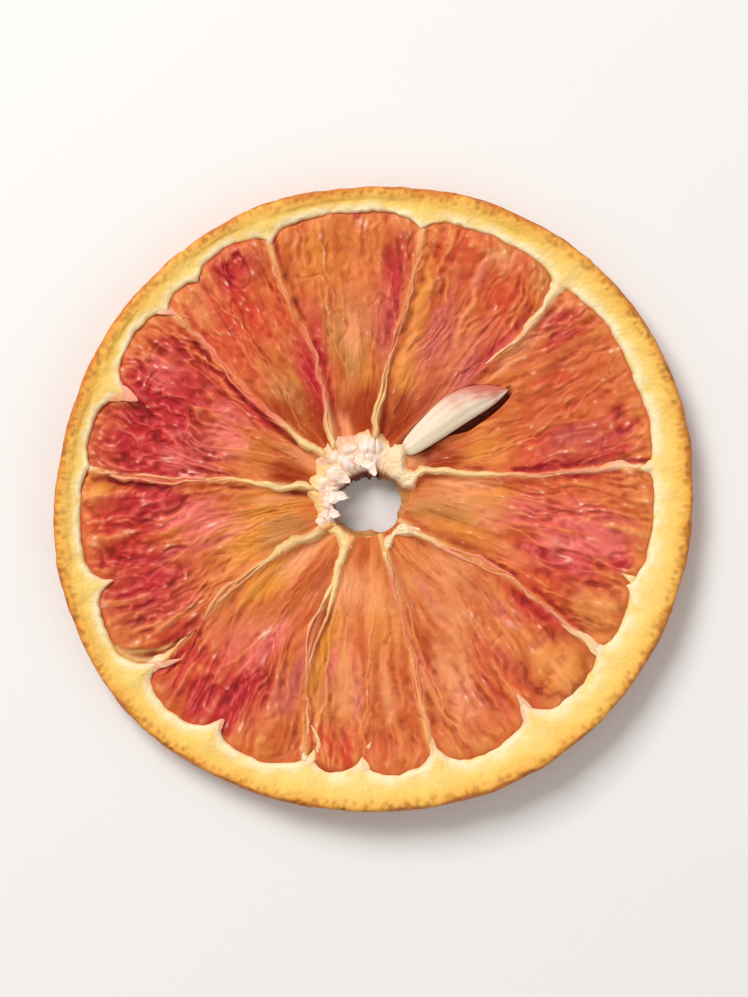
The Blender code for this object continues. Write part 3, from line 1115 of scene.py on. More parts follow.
# Angle, radius, half lengths along and across, and height of each, as in Swell.
SWELLS = tuple(
    Swell(*row)
    for row in (
        (30.0, 24.6, 2.6, 3.2, 0.22), (16.5, 25.2, 1.8, 2.2, 0.2), (70.0, 25.6, 2.0, 2.6, 0.3),
        (55.0, 25.6, 2.0, 2.6, 0.22), (88.0, 25.8, 1.8, 2.4, 0.22), (101.0, 25.0, 2.2, 3.0, 0.22),
        (121.0, 25.0, 2.2, 2.6, 0.2), (136.0, 24.6, 2.0, 1.8, 0.25), (148.0, 24.2, 2.4, 2.6, 0.28),
        (166.0, 24.8, 2.4, 3.0, 0.22), (186.0, 25.4, 2.2, 3.0, 0.25), (205.0, 23.6, 2.6, 2.4, 0.22),
        (226.5, 24.2, 2.2, 2.4, 0.32), (244.0, 24.0, 2.4, 2.6, 0.28), (261.5, 24.8, 2.0, 2.0, 0.25),
        (275.0, 25.0, 1.8, 2.0, 0.25), (295.0, 24.2, 2.2, 3.2, 0.28), (318.5, 23.8, 2.6, 2.8, 0.55),
        (335.0, 24.0, 2.4, 1.9, 0.55), (352.0, 25.2, 2.0, 3.0, 0.2),
    )
)


@dataclass(frozen=True)
class SeedPlace:
    """Where the seed lies: its two ends in plan, as (angle, radius), and its half width."""

    blunt: tuple = (57.1, 5.9)
    tip: tuple = (39.25, 17.3)
    half_width: float = 1.58
    bow: float = 0.88
    half_thickness: float = 0.7
    height: float = 0.92

    def ends(self) -> tuple:
        """Places of the blunt end and the tip."""
        places = ((math.radians(angle), radius) for angle, radius in (self.blunt, self.tip))
        return tuple((radius * math.cos(turn), radius * math.sin(turn)) for turn, radius in places)

    def line(self) -> tuple:
        """The line from the blunt end to the tip: its start, its unit direction and its length."""
        (start_x, start_y), (end_x, end_y) = self.ends()
        length = math.hypot(end_x - start_x, end_y - start_y)
        return start_x, start_y, (end_x - start_x) / length, (end_y - start_y) / length, length

    def local(self, x: np.ndarray, y: np.ndarray) -> tuple:
        """Places in plan as the seed sees them.

        Args:
            x, y: places in plan.

        Returns:
            Share of the way from the blunt end to the tip, and distance to the left of it.
        """
        start_x, start_y, along_x, along_y, length = self.line()
        share = ((x - start_x) * along_x + (y - start_y) * along_y) / length
        beside = (y - start_y) * along_x - (x - start_x) * along_y
        return share, beside

    def middle(self, share: np.ndarray) -> np.ndarray:
        """How far its middle line bows to the left: the sine of half a turn by share to 1.3."""
        return self.bow * np.sin(np.pi * np.clip(share, 0.0, 1.0) ** 1.3)

    def girth(self, share: np.ndarray) -> np.ndarray:
        """Half width as a share of the widest: round at the blunt end, drawn out at the tip."""
        inside = np.clip(share, 0.0, 1.0)
        power = 0.3 + 0.12 * smooth(0.0, 0.3, inside) + 0.4 * inside**4
        return np.clip(np.sin(np.pi * inside**1.1), 0.0, 1.0) ** power


SEED = SeedPlace()
# Numbers of the segment that holds the seed, and of the one that has come away from the pith.
SEED_SEGMENT = 0
PULLED_SEGMENT = 5


@dataclass
class Segment:
    """One segment's flesh between two membranes, as a closed slab.

    Its grid runs outward in rows and across in columns, over the top and back below.

    number: its place counter-clockwise from the right.
    wrinkled: how deep its wrinkles are.
    dug: how far it sinks at the core.
    """

    number: int
    wrinkled: float = 1.0
    dug: float = 0.3
    rows: int = 200
    columns: int = 151
    top: float = 1.0
    under: float = 0.86
    tuck: float = 0.45
    lobe_start: float = 0.72
    pocket_floor: float = -0.4
    core_overlap: float = 1.1
    widest_at: float = 27.0
    crowding: float = 1.12
    rounds: int = 6
    sag: float = 0.3
    fold: float = 0.26
    edge_drop: float = 0.3
    edge_reach: float = 0.28
    wall_rise: float = 0.14

    def walls(self) -> tuple:
        """The membranes before and after the segment."""
        return PLAN.membranes[self.number], PLAN.membranes[(self.number + 1) % len(PLAN.membranes)]

    def spread(self, radius: np.ndarray) -> tuple:
        """Angle of the membrane before the segment at a radius, and the angle on to the next."""
        first, following = (PLAN.membrane_angle(wall, radius) for wall in self.walls())
        return first, np.mod(following - first, 360.0)

    def angle_at(self, across: np.ndarray, radius: np.ndarray) -> np.ndarray:
        """Angle of a place that lies a share of the way from one membrane to the next."""
        first, apart = self.spread(radius)
        return first + across * apart

    def width_at(self, radius: np.ndarray) -> np.ndarray:
        """Distance between the two membranes along the arc at a radius."""
        return np.radians(self.spread(radius)[1]) * radius

    def grid(self, across: np.ndarray) -> tuple:
        """Angle and radius over the slab.

        Rows run from the core to a smooth arc inside the band, a little closer together
        outwards, by 1 - (1 - t)^crowding, and the outer ones bend on to the lobed edge.
        The radius of each column's two ends depends on its angle there, and is found by
        rounds of substitution.

        Args:
            across: share of the way from one membrane to the next, for each column.

        Returns:
            The angle and the radius, one row for each step outward.
        """
        row = np.linspace(0.0, 1.0, self.rows)[:, None]
        row = 1.0 - (1.0 - row) ** self.crowding
        inner = np.full(across.shape, PLAN.membrane_start)
        outer = np.full(across.shape, self.widest_at)
        for _ in range(self.rounds):
            inner = PLAN.core_radius(self.angle_at(across, inner)) - self.core_overlap
            outer = PLAN.flesh_radius(self.angle_at(across, outer)) + self.tuck
        edge = self.angle_at(across, outer)
        arc = PLAN.rim_radius(edge) - PLAN.band_width(edge)
        radius = inner + row * (arc - inner) + (outer - arc) * smooth(self.lobe_start, 1.0, row)
        return self.angle_at(across, radius), radius

    def stains_and_glints(self, angle: np.ndarray, radius: np.ndarray, uneven: np.ndarray) -> dict:
        """Strength of each pigment: a sum of oval bells, with edges broken up by noise.

        Args:
            angle, radius: places in plan.
            uneven: the noise that breaks up the edges.

        Returns:
            Masks by the pigment's name.
        """
        totals = {pigment: np.zeros(radius.shape) for pigment in Pigment}
        for patch in PATCHES:
            out = (radius - patch.radius) / patch.along
            beside = np.radians(turned(angle - patch.angle)) * patch.radius / patch.across
            totals[patch.pigment] += patch.strength * np.exp(-(out * out) - beside * beside)
        return {
            pigment.value: smooth(0.05, 1.0, total + uneven * smooth(0.02, 0.35, total))
            for pigment, total in totals.items()
        }

    def swollen(self, angle: np.ndarray, radius: np.ndarray, uneven: np.ndarray) -> tuple:
        """The swollen lobes: a flat-topped bell each, by exp(-d^3), and the line round its foot, which is
        painted as shade.

        Args:
            angle, radius: places in plan.
            uneven: the noise that makes their outlines uneven.

        Returns:
            Their height, and the line as a mask.
        """
        height = np.zeros(radius.shape)
        skirt = np.zeros(radius.shape)
        for swell in SWELLS:
            out = (radius - swell.radius) / swell.along
            beside = np.radians(turned(angle - swell.angle)) * swell.radius / swell.across
            away = np.hypot(out, beside) + 0.5 * uneven
            height += swell.height * np.exp(-(away**3))
            skirt = np.maximum(skirt, ridge(away - 1.15, 0.2) * smooth(0.25, 0.5, swell.height))
        return height, skirt * smooth(-0.3, 0.15, uneven)

    def threads(self, angle: np.ndarray, radius: np.ndarray) -> tuple:
        """The pale threads, each a rounded line along its bends.

        Args:
            angle, radius: places in plan.

        Returns:
            How far they lift the flesh, and their paleness as a mask.
        """
        still = radius * 0.0
        lift = np.zeros(radius.shape)
        pale = np.zeros(radius.shape)
        for strand in STRANDS:
            at, turn = np.array(strand.bends, float).T
            off = np.radians(turned(angle - np.interp(radius, at, turn))) * radius
            off = off + 0.3 * noise(radius * 0.6, still, 15) + 0.08 * noise(radius * 2.0, still, 16)
            inside = smooth(at[0] - 1.0, at[0] + 1.0, radius) * smooth(at[-1] + 0.8, at[-1] - 0.8, radius)
            line = ridge(off, strand.half_width) * inside
            lift = lift + strand.lift * line
            pale = np.maximum(pale, 0.85 * strand.paleness * line)
        return lift, pale

    def tissue(self, radius: np.ndarray, u: np.ndarray, swirl: np.ndarray, seed: int) -> tuple:
        """The fine relief of the flesh, in shares of its full depth.

        Dried juice sacs leave thin crests with hollows between them. The crests run
        outward, wander, fade in and out, and curl into loops where swirl is high. Finer
        wrinkles run over them.

        Args:
            radius, u: places in millimetres, outward and across.
            swirl: how much the pattern curls, from 0 to 1.
            seed: picks the pattern.

        Returns:
            The relief and a tone that follows the crests, from -1 to 1.
        """
        wave = noise(radius / 2.4, u / 2.0, seed + 1)
        ripple = noise(radius / 0.8, u / 0.8, seed + 2)
        beside = u + 0.8 * noise(radius / 6.0, u / 3.0, seed) + (0.3 + 0.6 * swirl) * wave + 0.2 * ripple
        outward = radius + (0.5 + 0.8 * swirl) * noise(radius / 1.8, u / 1.6, seed + 3)
        strands = crests(outward / (4.2 - 1.6 * swirl), beside / 1.1, seed + 4)
        strands = strands * smooth(-0.7, 0.5, noise(radius / 2.0, beside / 1.2, seed + 5))
        phase = beside / 0.9 + (0.4 + 1.2 * swirl) * noise(radius / 2.0, u / 1.6, seed + 6)
        there = smooth(-0.25, 0.5, noise(radius / 1.8, u / 1.1, seed + 7))
        pleats = (0.5 + 0.5 * np.cos(2 * np.pi * phase)) ** 1.6 * there
        fine = crests(outward / 1.5, beside / 0.5, seed + 8, 1.6)
        fine = fine * smooth(-0.5, 0.5, noise(radius / 1.2, u / 0.9, seed + 9))
        across = crests(outward / 0.8, beside / 1.1, seed + 10, 3.0)
        across = across * smooth(0.0, 0.7, noise(radius / 1.7, u / 1.3, seed + 11))
        strings = noise(radius / 2.8, beside / 0.45, seed + 12)
        lumps = noise(radius / 0.65, beside / 0.55, seed + 13)
        relief = 0.18 * strands + 0.1 * pleats + 0.09 * fine + 0.09 * across + 0.04 * strings + 0.07 * lumps
        return relief, strings

    def relief(self, angle: np.ndarray, radius: np.ndarray, across: np.ndarray, below: bool) -> tuple:
        """Height of one face away from the middle, and its masks.

        The flesh sags between its membranes, sinks at the core, swells in its lobes and
        rounds off at the pith. Over that lie folds, creases beside the membranes, the
        fine relief of its tissue, and pale threads.

        Args:
            angle, radius: places in plan.
            across: share of the way from one membrane to the next.
            below: whether this is the under face.

        Returns:
            The height and a dictionary of the masks.
        """
        seed = 100 + 60 * self.number + (30 if below else 0)
        before, after = self.walls()
        width = self.width_at(radius)
        widest = self.width_at(np.array(self.widest_at))
        across = np.broadcast_to(across, radius.shape)
        side = np.minimum(across, 1.0 - across) * width
        reach = PLAN.flesh_radius(angle)
        steps = [np.abs(PLAN.flesh_radius(angle + step) - reach) for step in (-0.1, 0.1)]
        slope = np.maximum(*steps) / (radius * math.radians(0.1))
        gap = (reach - radius) / np.sqrt(1.0 + slope * slope)
        wide_gap = (reach - radius) / np.sqrt(1.0 + np.minimum(slope, 0.6) ** 2)
        core_gap = radius - PLAN.core_radius(angle)

        # Distance across, in millimetres that narrow less than the segment does.
        u = (across - 0.5) * width**0.55 * widest**0.45
        drift = noise(radius / 4.0, u / 2.4, seed + 20)
        streaks = noise(radius / 5.0, u / 0.9 + 0.8 * drift, seed + 21)
        patchy = layered(radius / 4.2, u / 4.0, seed + 22, 2)
        mottled = noise(radius / 1.3, u / 0.6, seed + 23)
        uneven = 0.26 * streaks + 0.13 * patchy + 0.08 * mottled
        masks = self.stains_and_glints(angle, radius, uneven)
        stained = np.maximum(masks["crimson"], 0.5 * masks["scarlet"])
        swirl = smooth(10.0, 20.0, radius) * (0.15 + 0.6 * stained)
        tissue, strings = self.tissue(radius, u, swirl, seed)
        folds = layered(radius / (6.5 - 2.5 * swirl), (u + drift) / 2.4, seed + 24, 2)
        bent = radius + 1.6 * noise(radius / 3.0, u / 1.7, seed + 28)
        cut = ridge(noise(bent / 3.6, (u + drift) / 1.9, seed + 25), 0.1) * smooth(0.0, 0.5, patchy + 0.3)
        thread_lift, thread_pale = self.threads(angle, radius)

        rough = self.wrinkled * (0.55 + 0.4 * smooth(9.0, 19.0, radius) + 0.4 * stained)
        rough = rough * smooth(0.0, 2.2, core_gap) * smooth(-0.1, 0.8, gap)
        hidden = np.where(across < 0.5, before.sunk(radius), after.sunk(radius))
        sag = self.sag * np.sin(np.pi * across) ** 0.7 * smooth(0.0, 4.0, core_gap)
        sag = sag * smooth(0.0, 5.0, wide_gap + 1.5)
        dug = self.dug * smooth(4.5, 0.3, core_gap) * smooth(0.05, 0.9, side)
        height = (self.under if below else self.top) - sag - dug + 0.3 * smooth(3.6, 1.0, wide_gap)
        swelling, skirt = self.swollen(angle, radius, uneven)
        height = height + swelling * smooth(0.0, 0.8, side) - 0.08 * skirt
        height = height + self.fold * folds * smooth(-0.2, 1.5, side) - 0.1 * cut * rough
        height = height + rough * (tissue - 0.08) + thread_lift
        beads = cells(radius / 1.5 + 0.35 * drift, u / 0.85 + 0.35 * folds, seed + 29, 0.9)
        beaded = smooth(6.0, 2.0, wide_gap) * smooth(-0.2, 0.5, patchy + 0.3 * streaks)
        beaded = beaded * smooth(0.0, 0.5, gap)
        height = height + self.wrinkled * beaded * (0.3 * (0.3 - beads.near**2) + 0.06 * (beads.tone - 0.5))
        height = height - self.edge_drop * np.exp(-np.maximum(gap, 0.0) / self.edge_reach)
        height = height + self.wall_rise * ridge(side, 0.4) * (1.0 - 0.5 * streaks) * (1.0 - hidden)
        crease_before = max(before.crease, 0.0) * smooth(0.2, -0.2, across - 0.5)
        crease_after = max(-after.crease, 0.0) * smooth(-0.2, 0.2, across - 0.5)
        broken = smooth(-0.4, 0.5, noise(radius / 2.2, radius * 0.0, seed + 26))
        crease = (crease_before + crease_after) * ridge(side - 0.6, 0.3) * broken
        height = height - crease - 0.08 * ridge(side - 0.8, 0.4)

        # Painted light from the relief: places above their surroundings, at fine and broad scales, and the
        # tops of swollen lobes are painted paler, partly as the pale walls of dried sacs and partly as
        # painted highlight; places below them and the foot of each lobe get painted shade, which also deepens
        # their colour.
        gentle = softened(height, 14)
        local = height - gentle
        broad = gentle - softened(gentle, 60)
        masks["tone"] = np.clip(0.5 + 0.3 * strings + 0.35 * streaks + 0.3 * patchy + 0.2 * mottled, 0.0, 1.0)
        crest = (0.4 + 0.14 * stained) * smooth(0.005, 0.11, local) + 0.38 * smooth(0.0, 0.13, broad)
        crest = crest + 0.1 * smooth(0.15, 0.5, swelling)
        masks["wrinkle"] = np.maximum(crest, thread_pale)
        masks["hollow"] = 0.45 * smooth(0.0, -0.09, local) + 0.4 * smooth(0.0, -0.13, broad)
        masks["hollow"] = np.maximum(masks["hollow"], 0.5 * skirt)
        at_ends = 0.12 + 0.4 * smooth(7.0, 2.0, core_gap) + 0.4 * smooth(3.0, 0.5, gap)
        near_wall = ridge(side, 0.28) * at_ends
        masks["pale"] = np.maximum(masks["pale"], near_wall * (1.0 - 0.85 * hidden))
        beside_wall = ridge(side - 0.75, 0.4) * smooth(-0.5, 0.5, streaks + patchy)
        masks["rust"] = np.maximum(masks["rust"], 0.5 * beside_wall * smooth(16.0, 6.0, radius))
        # Painted shade: a broken line along the flesh's outer edge at the pith, and in the creases beside the
        # membranes, where the crease is also tinted crimson and rust.
        edge = np.exp(-np.maximum(gap, 0.0) / 0.25) * smooth(-0.9, 0.3, patchy + 0.5 * streaks)
        masks["dark"] = np.maximum(0.42 * edge, 0.4 * smooth(0.05, 0.3, crease))
        stained_crease = 0.7 * smooth(0.03, 0.2, crease) * smooth(10.0, 13.0, radius)
        masks["crimson"] = np.maximum(masks["crimson"], stained_crease)
        masks["rust"] = np.maximum(masks["rust"], 0.8 * smooth(0.02, 0.15, crease))
        # Painted glints: small highlights on the crests, more of them on rose.
        spark = cells(radius / 0.9, u / 0.5, seed + 27, 0.9)
        often = spark.tone + 0.16 * masks["rose"]
        glint = smooth(0.7, 0.86, often) * smooth(0.42, 0.12, spark.near) * smooth(-0.01, 0.07, local)
        glint = 0.7 * glint * smooth(-0.4, 0.5, patchy + 0.3) * (1.0 + 0.6 * masks["rose"])
        masks["glint"] = np.maximum(glint, masks["glint"] * smooth(-0.05, 0.06, local))
        if self.number == SEED_SEGMENT and not below:
            height, masks = self.seed_pocket(angle, radius, height, masks)
        if self.number == PULLED_SEGMENT and not below:
            height, masks = self.pulled_edge(angle, gap, streaks, height, masks)
        return height, masks

    def pulled_edge(
        self, angle: np.ndarray, gap: np.ndarray, streaks: np.ndarray, height: np.ndarray, masks: dict
    ) -> tuple:
        """Sinks the flesh where it has come away from the pith, down to a thin pale film whose holes are
        painted rust-brown with painted shade.

        Args:
            angle: angles of the places.
            gap: their distance from the flesh's outer edge.
            streaks: the noise that breaks the film up.
            height: the face's height.
            masks: the face's masks, which are changed too.

        Returns:
            The height and the masks.
        """
        reach = 2.0 * smooth(206.5, 215.0, np.mod(angle, 360.0))
        away = smooth(reach + 0.15, reach - 0.25, gap) * smooth(0.2, 0.6, reach)
        hole = away * smooth(0.0, 0.4, streaks + 0.4) * smooth(0.35, 0.8, gap)
        height = height - 0.3 * away - 0.2 * hole
        for pigment in Pigment:
            masks[pigment.value] = masks[pigment.value] * (1.0 - away)
        masks["khaki"] = np.maximum(masks["khaki"], away)
        # Rust-brown and painted shade in the holes of the film.
        masks["rust"] = np.maximum(masks["rust"], hole)
        masks["pale"] = np.maximum(masks["pale"] * (1.0 - away), 0.45 * away * (1.0 - hole))
        masks["dark"] = np.maximum(masks["dark"] * (1.0 - 0.9 * away), 0.45 * hole)
        return height, masks

    def seed_pocket(self, angle: np.ndarray, radius: np.ndarray, height: np.ndarray, masks: dict) -> tuple:
        """Sinks the flesh under the seed and opens the slit along its right side, with painted shade in the
        slit and in a hollow by its blunt end.

        Args:
            angle, radius: places in plan.
            height: the face's height.
            masks: the face's masks, which are changed too.

        Returns:
            The height and the masks.
        """
        turn = np.radians(angle)
        share, beside = SEED.local(radius * np.cos(turn), radius * np.sin(turn))
        beside = beside - SEED.middle(share)
        lip = SEED.half_width * SEED.girth(share)
        under_seed = smooth(-0.02, 0.06, share) * smooth(1.0, 0.92, share)
        under_seed = under_seed * smooth(lip + 0.15, lip - 0.4, np.abs(beside))
        opening = 0.1 + 0.85 * smooth(0.36, 0.58, share) * (1.3 - 0.75 * share)
        below_seed = -beside - lip
        slit = smooth(-0.4, -0.1, below_seed) * smooth(opening + 0.08, opening - 0.1, below_seed)
        slit = slit * smooth(0.02, 0.15, share) * smooth(1.06, 0.95, share)
        hollow = np.exp(-(((share - 0.1) / 0.09) ** 2) - ((beside + 1.8) / 0.7) ** 2)
        height = np.maximum(height - 0.5 * under_seed - 0.8 * slit - 0.4 * hollow, self.pocket_floor)
        # Painted shade in the slit and the hollow.
        masks["dark"] = np.maximum(masks["dark"], np.maximum(0.93 * slit, 0.35 * hollow))
        masks["rust"] = np.maximum(masks["rust"], hollow)
        for mask in ("wrinkle", "pale", "glint"):
            masks[mask] = masks[mask] * (1.0 - slit)
        return height, masks

    def build(self, material: bpy.types.Material) -> bpy.types.Object:
        """Joins the two faces, their side walls and their end caps into one closed slab."""
        across_top = np.linspace(0.0, 1.0, self.columns)[None, :]
        across_low = across_top[:, ::2]
        angle, radius = self.grid(across_top)
        height, masks = self.relief(angle, radius, across_top, False)
        low_angle, low_radius = self.grid(across_low)
        depth, low_masks = self.relief(low_angle, low_radius, across_low, True)
        points = np.concatenate(
            [polar(radius, angle, height).reshape(-1, 3), polar(low_radius, low_angle, -depth).reshape(-1, 3)]
        )
        upper = np.arange(radius.size).reshape(radius.shape)
        lower = radius.size + np.arange(low_radius.size).reshape(low_radius.shape)
        sides = [
            np.stack([lower[:-1, 0], lower[1:, 0], upper[1:, 0], upper[:-1, 0]], axis=1),
            np.stack([upper[:-1, -1], upper[1:, -1], lower[1:, -1], lower[:-1, -1]], axis=1),
        ]
        caps = [
            np.stack([upper[0, :-1:2], upper[0, 1::2], upper[0, 2::2], lower[0, 1:], lower[0, :-1]], axis=1),
            np.stack(
                [upper[-1, 2::2], upper[-1, 1::2], upper[-1, :-1:2], lower[-1, :-1], lower[-1, 1:]], axis=1
            ),
        ]
        faces = [quads(upper, False, False), quads(lower, False, False)[:, ::-1], *sides, *caps]
        both = {key: np.concatenate([masks[key].ravel(), low_masks[key].ravel()]) for key in masks}
        # The tissue paint holds the pale crests (partly painted highlight), painted shade, cream and painted
        # glints; the last channel of the tint paint is painted shade in hollows.
        paints = {
            "pigment": channels(both["crimson"], both["khaki"], both["golden"], both["tone"]),
            "tissue": channels(both["wrinkle"], both["dark"], both["pale"], both["glint"]),
            "tint": channels(both["mauve"], both["scarlet"], both["rust"], both["hollow"]),
            "blush": channels(both["rose"], both["peach"]),
        }
        return make_piece(f"segment_{self.number:02d}", BED.place(points, PLAN), faces, paints, material)


SEGMENTS = (
    Segment(0, wrinkled=0.8, dug=0.3),
    Segment(1, wrinkled=0.95, dug=0.75),
    Segment(2, wrinkled=0.85, dug=0.75),
    Segment(3, wrinkled=0.9, dug=0.7),
    Segment(4, wrinkled=1.15, dug=0.6),
    Segment(5, wrinkled=0.95, dug=0.3),
    Segment(6, wrinkled=0.8, dug=0.25),
    Segment(7, wrinkled=0.85, dug=0.15),
    Segment(8, wrinkled=0.85, dug=0.1),
    Segment(9, wrinkled=0.95, dug=0.25),
)


# ---- Membranes, core pith and seed ----


@dataclass(frozen=True)
class MembraneSkins:
    """The ten membranes, each as two thin skins that stand a little proud of the flesh."""

    steps: int = 200
    section: int = 11
    rise: float = 0.12
    half_width: float = 0.23
    root: float = 0.7
    crest_below: float = 0.86
    crest: float = 1.0
    inner_overlap: float = 1.5
    hole_margin: float = 0.6
    outer_overlap: float = 0.9

    def skin(self, number: int, membrane: Membrane, side: float, below: bool) -> tuple:
        """One skin as a grid of points and its masks.

        A rounded section is carried along the membrane's line. Its place, width and height
        wander with noise, and it widens where it meets the core and the pith.

        Args:
            number: the membrane's place counter-clockwise from the right.
            membrane: the membrane.
            side: -1 or 1, for the skin on either side of its line.
            below: whether the skin is on the under face.

        Returns:
            The points in plan, one row for each step outward, and the masks.
        """
        seed = 900 + 17 * number + (5 if side > 0 else 0) + (3 if below else 0)
        ends = PLAN.membrane_angle(membrane, np.array(PLAN.membrane_end))
        at_root = PLAN.membrane_angle(membrane, np.array(PLAN.membrane_start))
        in_core = float(PLAN.core_radius(at_root)) - self.inner_overlap
        start = max(in_core, float(PLAN.hole_radius(at_root)) + self.hole_margin)
        end = float(PLAN.flesh_radius(ends)) + self.outer_overlap
        radius = np.linspace(start, end, self.steps)[:, None]
        line = radius * 0.0
        share = (radius - start) / (end - start)
        part = np.exp(-(((radius - membrane.split_at) / 3.2) ** 2)) * membrane.split
        wander = 0.22 * noise(radius * 0.45, line, 880 + number)
        wander = wander + 0.11 * noise(radius, line, 890 + number)
        away = wander + side * (0.04 + part) + 0.07 * noise(radius * 0.6, line + side, seed)
        flare = 0.6 * smooth(0.45, 0.1, share) + 0.4 * smooth(0.7, 0.88, share)
        flare = flare + smooth(0.91, 1.0, share)
        width = self.half_width * membrane.broad * (1.0 + flare)
        uneven = 0.3 * noise(radius * 0.6, line, seed + 2) + 0.15 * noise(radius * 2.3, line, seed + 3)
        width = width * (1.0 - 0.4 * part + uneven)
        sunk = membrane.sunk(radius + 0.8 * side)
        outer_third = membrane.creamy * smooth(0.66, 0.86, share)
        width = width * (1.0 - 0.5 * sunk) * (1.0 + 0.8 * outer_third)
        profile = np.linspace(-1.0, 1.0, self.section)[None, :]
        angle = PLAN.membrane_angle(membrane, radius) + np.degrees((away + profile * width) / radius)
        rise = self.rise * (1.0 + 0.5 * noise(radius * 0.6, line, seed + 6)) + 0.1 * smooth(0.25, 0.0, share)
        base = self.crest_below if below else self.crest
        lip = base + 0.12 + rise + 0.03 * noise(radius * 3.0, profile * 2.0, seed + 7) - 0.5 * sunk
        lip = lip + 0.12 * smooth(0.92, 1.0, share) - 0.8 * smooth(0.06, 0.0, share)
        lip = lip + 0.3 * membrane.creamy * smooth(0.74, 0.86, share) * smooth(1.0, 0.95, share)
        height = lip - (lip - base + self.root) * np.abs(profile) ** 2.0
        middle = smooth(membrane.blush, membrane.blush + 0.2, share) * smooth(0.96, 0.8, share)
        rose = middle * membrane.rosy * (0.9 + 0.2 * noise(radius * 0.4, line, seed + 8))
        rose = rose * (1.0 - 0.7 * outer_third)
        shape = height.shape
        ends_white = 0.6 * smooth(0.88, 1.0, share) * (1.0 - membrane.creamy)
        ends_white = ends_white + 0.08 * smooth(0.35, 0.1, share)
        ends_white = ends_white + 0.35 * outer_third * smooth(1.0, 0.88, share)
        white = ends_white + 0.3 * noise(radius * 1.3, line, seed + 9) * middle
        amber = membrane.amber * smooth(1.0, 0.7, share)
        amber = amber * (1.0 + 0.5 * noise(radius * 0.5, profile, seed + 10))
        masks = [np.broadcast_to(mask, shape) for mask in (rose, white, amber)]
        radius = np.broadcast_to(radius, shape)
        return polar(radius, angle, -height if below else height), channels(*masks)

    def build(self, material: bpy.types.Material) -> bpy.types.Object:
        """Makes every skin, each closed along its foot, as one piece."""
        points, paints, faces, count = [], [], [], 0
        for number, membrane in enumerate(PLAN.membranes):
            for side in (-1.0, 1.0):
                for below in (False, True):
                    grid, paint = self.skin(number, membrane, side, below)
                    index = count + np.arange(grid[..., 0].size).reshape(grid.shape[:2])
                    ring = quads(index, False, True)
                    caps = [index[:1], index[-1:, ::-1]]
                    group = [ring, *caps]
                    faces += [face if below else face[:, ::-1] for face in group]
                    points.append(grid.reshape(-1, 3))
                    paints.append(paint)
                    count += index.size
        by_width: dict = {}
        for face in faces:
            by_width.setdefault(face.shape[1], []).append(face)
        joined = [np.concatenate(group) for group in by_width.values()]
        placed = BED.place(np.concatenate(points), PLAN)
        return make_piece("membranes", placed, joined, {"pith": np.concatenate(paints)}, material)


